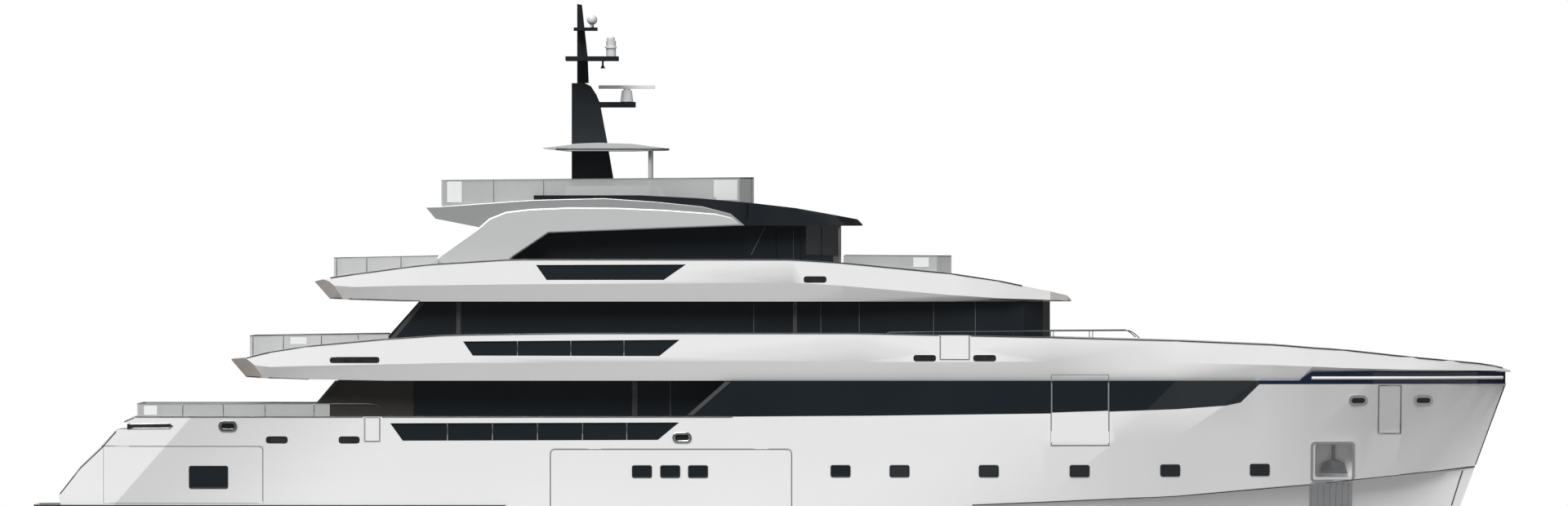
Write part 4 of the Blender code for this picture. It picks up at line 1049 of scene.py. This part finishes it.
arches = {
    # the outline starts with the two points of the foot, whose z comes from the node
    "wing": {
        "outline": ((-6.93, 4.71), (-5.30, 4.71), (-4.75, 4.86), (-4.125, 5.286), (-0.525, 5.4225),
                    (-0.78, 5.64), (-1.305, 5.775), (-2.205, 5.865), (-3.105, 5.925), (-4.395, 5.895),
                    (-6.11, 5.775), (-6.37, 5.76), (-6.195, 5.55), (-5.355, 5.385), (-6.315, 4.71)),
        "inner": -1.860, "outer": -1.990, "round": 0.012, "finish": "archSilver"},
    "leg": {
        "outline": ((-6.60, 4.52), (-5.36, 4.52), (-4.76, 4.872), (-4.13, 5.296), (-0.60, 5.432),
                    (-0.75, 5.57), (-1.065, 5.645), (-1.965, 5.712), (-2.85, 5.750), (-3.735, 5.757),
                    (-4.455, 5.728), (-4.905, 5.675), (-5.205, 5.555), (-5.40, 5.385), (-6.30, 4.74)),
        "inner": -1.985, "outer": -2.038, "round": 0.022, "finish": "legSilver"},
}

foot = min(vertex.co.z for vertex in cadNodes["arch_stbd"].data.vertices)
for name, part in arches.items():
    points = [(x, part["inner"], foot if k < 2 else z) for k, (x, z) in enumerate(part["outline"])]
    shape = slab(f"arch{name.title()}Stbd", points, part["outer"] - part["inner"])
    pair = bothSides(shape, part["finish"], "silver_paint", sharp=26, soften=part["round"])
    for half in pair:
        weigh(half)
    if name == "wing":
        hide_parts("arch_stbd")
        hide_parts("arch_port")
print("arches done")


# The stern slot: a black plate laid on the side, painted shade of the recess, with a polished rim

sternSlot = {
    "outline": ((157.5, 525.2), (209.5, 524.8), (214.0, 521.4), (209.5, 518.2), (157.5, 519.0)), "rim": 0.018,
}

outline = [spot(*place) for place in sternSlot["outline"]]
# painted shade: a black plate in place of the dark recess
slot = sidePlate("sternSlotStbd", outline, hullSkin, 0.002, 0.004, 0.2)
bothSides(slot, *black)
rim = sidePlate("sternSlotRimStbd", outline, hullSkin, 0.001, 0.012, 0.2, sternSlot["rim"])
bothSides(rim, *steel, soften=0.003)


# Dark trim lines along the edges of the hull and the upper works; along the knuckle the dark line is painted
# shade under its step

trimLines = {
    # node, and places along the line on the drawing
    "sternTrim": ("hull", ((75, 604.5), (101, 572), (126.5, 548), (144, 528))),
    "lipTrim": ("hull", ((154, 516.2), (166, 511.2))),
    "stemTrim": ("hull", ((1844.5, 473), (1827, 521), (1809, 570))),
    # painted shade: a dark cord along the knuckle stands in for the shade under its step
    "knuckleTrim": ("hull", ((1190, 618), (1300, 613.5), (1440, 607.5), (1603, 594), (1657, 588), (1795, 574),
                             (1808, 572.5))),
    "forefootTrim": ("hull", ((1793, 577), (1779.5, 620))),
    "upperEndTrim": ("upper_band", ((304.5, 461.2), (332, 462.6), (411, 465.2))),
    "bridgeEndTrim": ("bridge_band", ((405, 365.2), (444, 366.2), (515, 368.6))),
    "bridgeForeTrim": ("bridge_band", ((1212, 366.8), (1309, 368))),
}
trim = {"radius": 0.010, "step": 0.25}

for name, (on, places) in trimLines.items():
    skin = skinOf(on)
    points = []
    for here, ahead in zip(places, places[1:]):
        (x0, z0), (x1, z1) = spot(*here), spot(*ahead)
        count = max(1, math.ceil(math.hypot(x1 - x0, z1 - z0) / trim["step"]))
        for k in range(count + (ahead == places[-1])):
            x, z = x0 + (x1 - x0) * k / count, z0 + (z1 - z0) * k / count
            y = sideOf(skin, x, z)
            if y is not None:
                points.append((x, y - 0.001, z))
    if len(points) > 1:
        railPair(name + "Stbd", points, trim["radius"])
print("trim lines done")


# White domes and lamps on the mast, and teak on the bathing platform aft of the transom

whiteParts = {
    # node: corners of a box round the white part, on the drawing
    "mast_upper": ((716.5, 14, 733, 31.5), (739.5, 46, 756, 67.0)),
    "mast_lower": ((755.5, 108, 778, 123.2),),
}
platformTeak = {"aftOf": -12.3, "below": 0.03, "upright": 0.95, "area": 0.01}


def paintFaces(skin, finish, test):  # a second finish on some faces
    skin.data.materials.append(finishes[finish])
    skin.active_material_index = 1
    choose(skin)
    editMode()
    bpy.ops.mesh.select_all(action="DESELECT")
    mesh = bmesh.from_edit_mesh(skin.data)
    for face in mesh.faces:
        face.select_set(test(face))
    mesh.select_flush_mode()
    bmesh.update_edit_mesh(skin.data)
    bpy.ops.object.material_slot_assign()
    editMode(False)


for node, boxes in whiteParts.items():
    limits = [(*spot(left, foot), *spot(right, head)) for left, head, right, foot in boxes]

    def inBox(face):
        x, y, z = face.calc_center_median()
        return any(x0 < x < x1 and z0 < z < z1 for x0, z0, x1, z1 in limits)

    paintFaces(skinOf(node), "radarWhite", inBox)

skin = skinOf("swim_platform")
top = max(vertex.co.z for vertex in skin.data.vertices)


def onTop(face):
    middle = face.calc_center_median()
    return (face.normal.z > platformTeak["upright"] and middle.x < platformTeak["aftOf"]
            and middle.z > top - platformTeak["below"] and face.calc_area() > platformTeak["area"])


paintFaces(skin, "laidTeak", onTop)


# a plain dark wall stands inside the wheelhouse
bulkhead = {"low": (-3.90, -0.02, 4.30), "high": (1.10, 0.02, 5.36)}
finishPiece(blockPiece("wheelhouseBulkhead", bulkhead["low"], bulkhead["high"]), *black)
print("mast, platform and bulkhead done")


# Mast fittings: lamp head and collar, and a horn

mastFittings = {
    # place on the drawing, finish, slot, and the radius and height of each point of the profile
    "lampHead": ((747.3, 50.5), "radarWhite", "white_paint",
                 ((0, 0), (0.055, 0), (0.075, 0.03), (0.075, 0.07), (0.05, 0.10), (0, 0.10))),
    "lampCollar": ((747.3, 58.5), "radarWhite", "white_paint",
                   ((0, 0), (0.108, 0), (0.108, 0.03), (0.100, 0.04), (0, 0.04))),
    "hornStem": ((737.5, 80.2), *black, ((0, 0), (0.018, 0), (0.018, 0.10), (0, 0.10))),
    "hornBell": ((737.5, 83.2), *black,
                 ((0, 0), (0.050, 0), (0.030, 0.03), (0.022, 0.05), (0, 0.05))),
}

for name, (at, finish, slot, profile) in mastFittings.items():
    x, z = spot(*at)
    finishPiece(turned(name, profile, (x, 0, z), 16), finish, slot)


# A dark rim round the hardtop

hardtopRim = {"level": 182.6, "radius": 0.014, "ends": (-4.22, -1.93), "step": 0.12}

z = spotZ(hardtopRim["level"])
line = [(x, sideOf(skinOf("hardtop"), x, z), z) for x in run(hardtopRim["ends"], hardtopRim["step"])]
line = [point for point in line if point[1] is not None]
railRound("hardtopRim", line, 0, hardtopRim["radius"], True, "dark_rubber")


# Deck gear on the fore deck: windlasses, bollards and a hatch

deckGear = {
    # places as x and y, and the radius and height of each point of the profile
    "windlass": (((11.20, -0.42),),
                 ((0, 0), (0.12, 0), (0.12, 0.02), (0.055, 0.03), (0.050, 0.09), (0.085, 0.11), (0.085, 0.13),
                  (0, 0.135))),
    "bollard": (((10.20, -1.05), (10.50, -1.00), (7.20, -1.75), (7.50, -1.72)),
                ((0, 0), (0.060, 0), (0.060, 0.012), (0.035, 0.020), (0.032, 0.13), (0.046, 0.15),
                 (0.046, 0.17), (0, 0.175))),
}
hatch = {"low": (8.30, -0.34), "high": (8.98, 0.34), "height": 0.06, "rim": 0.06, "round": 0.02,
         "glassDown": 0.004, "glassUp": 0.006}

deck = cadNodes["upper_deck"]
for name, (places, profile) in deckGear.items():
    for number, (x, y) in enumerate(places, 1):
        level = topOf(deck, x, y)
        if level is not None:
            piece = turned(f"{name}{number}Stbd", profile, (x, y, level + 0.0005), 20)
            bothSides(piece, *steel)
(x0, y0), (x1, y1) = hatch["low"], hatch["high"]
foot = topOf(deck, (x0 + x1) / 2, 0)
top, rim = foot + hatch["height"], hatch["rim"]
coaming = blockPiece("foreHatch", (x0, y0, foot + 0.0005), (x1, y1, top), hatch["round"], 3)
finishPiece(coaming, "topsidePaint", "white_paint")
pane = blockPiece("foreHatchGlass", (x0 + rim, y0 + rim, top - hatch["glassDown"]),
                  (x1 - rim, y1 - rim, top + hatch["glassUp"]), 0.003)
finishPiece(pane, *darkGlass)
print("deck gear done")


# Pale panes on the curved corners of the glass walls: a painted highlight in place of the reflection where
# the glass curves

glintPanes = {
    # node, then left, top, right and bottom on the drawing
    "windscreenForeCorner": ("windscreen", (874, 220.5, 903, 245)),
    "windscreenAftCorner": ("windscreen", (548, 222.5, 566, 248)),
    "bridgeScreenCorner": ("bridge_screen", (1118, 315.5, 1137, 327)),
    "mainAftCorner": ("main_balustrade", (178, 496.5, 194, 508)),
    "upperAftCorner": ("upper_balustrade", (357, 413, 377, 421.5)),
}

for name, (on, edges) in glintPanes.items():
    pane = sidePlate(name + "Stbd", sideRect(*edges), cadNodes[on], 0.001, 0.0015, 0.08)
    bothSides(pane, "brightGlass", "clear_glass")
print("corner panes done")


# Camera, light and floor

studio = {
    "lens": 540,
    "sensor": 36,
    "plane": -1.2,  # the y at which a metre has the drawing's size
    "lamps": {
        # power, turn and spread in degrees
        "key": (3.5, (44, 0, -22), 35),
        "fill": (0.35, (70, 0, 60), 60),
        "back": (1.9, (52, 0, 205), 60),
    },
    "sky": (1.0, 1.0, 1.0),
    "skyRamp": (-0.1, 0.9, 0.07, 0.36),  # heights on the sky's ball, then its strength at each
    "floorRadius": 17.5,
    "floor": surface((0.30, 0.30, 0.30), (0.28, 0.28, 0.28), 0.2, (0.7, 0.8), 30, 0.02),
}

scene = bpy.context.scene
camera = bpy.data.objects.new("camera", bpy.data.cameras.new("camera"))
scene.collection.objects.link(camera)
camera.data.sensor_width = studio["sensor"]
camera.data.lens = studio["lens"]
distance = drawing["width"] * drawing["unit"] * studio["lens"] / studio["sensor"]
x, z = spot(*drawing["middle"])
camera.location = (x, studio["plane"] - distance, z)
camera.rotation_euler = (math.radians(90), 0, 0)
camera.data.clip_end = 4 * distance
scene.camera = camera

for name, (power, turn, spread) in studio["lamps"].items():
    lamp = bpy.data.objects.new(name + "Light", bpy.data.lights.new(name, "SUN"))
    lamp.data.energy = power
    lamp.data.angle = math.radians(spread)
    lamp.rotation_euler = [math.radians(a) for a in turn]
    scene.collection.objects.link(lamp)

# the sky is white to the camera, and lights the boat more softly
world = bpy.data.worlds.new("studio")
scene.world = world
world.use_nodes = True
tree = world.node_tree
background = tree.nodes["Background"]
background.inputs["Color"].default_value = (*studio["sky"], 1)
split = addNode(tree, "SeparateXYZ")
rise = ramp(tree, *studio["skyRamp"])
seen = addNode(tree, "Mix", B=1.0)
wire(addNode(tree, "TexCoord"), "Generated", split, 0)
wire(split, "Z", rise, "Value")
wire(addNode(tree, "LightPath"), "Is Camera Ray", seen, "Factor")
wire(rise, "Result", seen, "A")
wire(seen, "Result", background, "Strength")
scene.view_settings.view_transform = "Standard"

bpy.ops.mesh.primitive_circle_add(vertices=96, radius=studio["floorRadius"], fill_type="NGON")
floor = begin("floor")
floor.data.materials.append(makeFinish("paleFloor", studio["floor"]))
floor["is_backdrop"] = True

low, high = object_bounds()
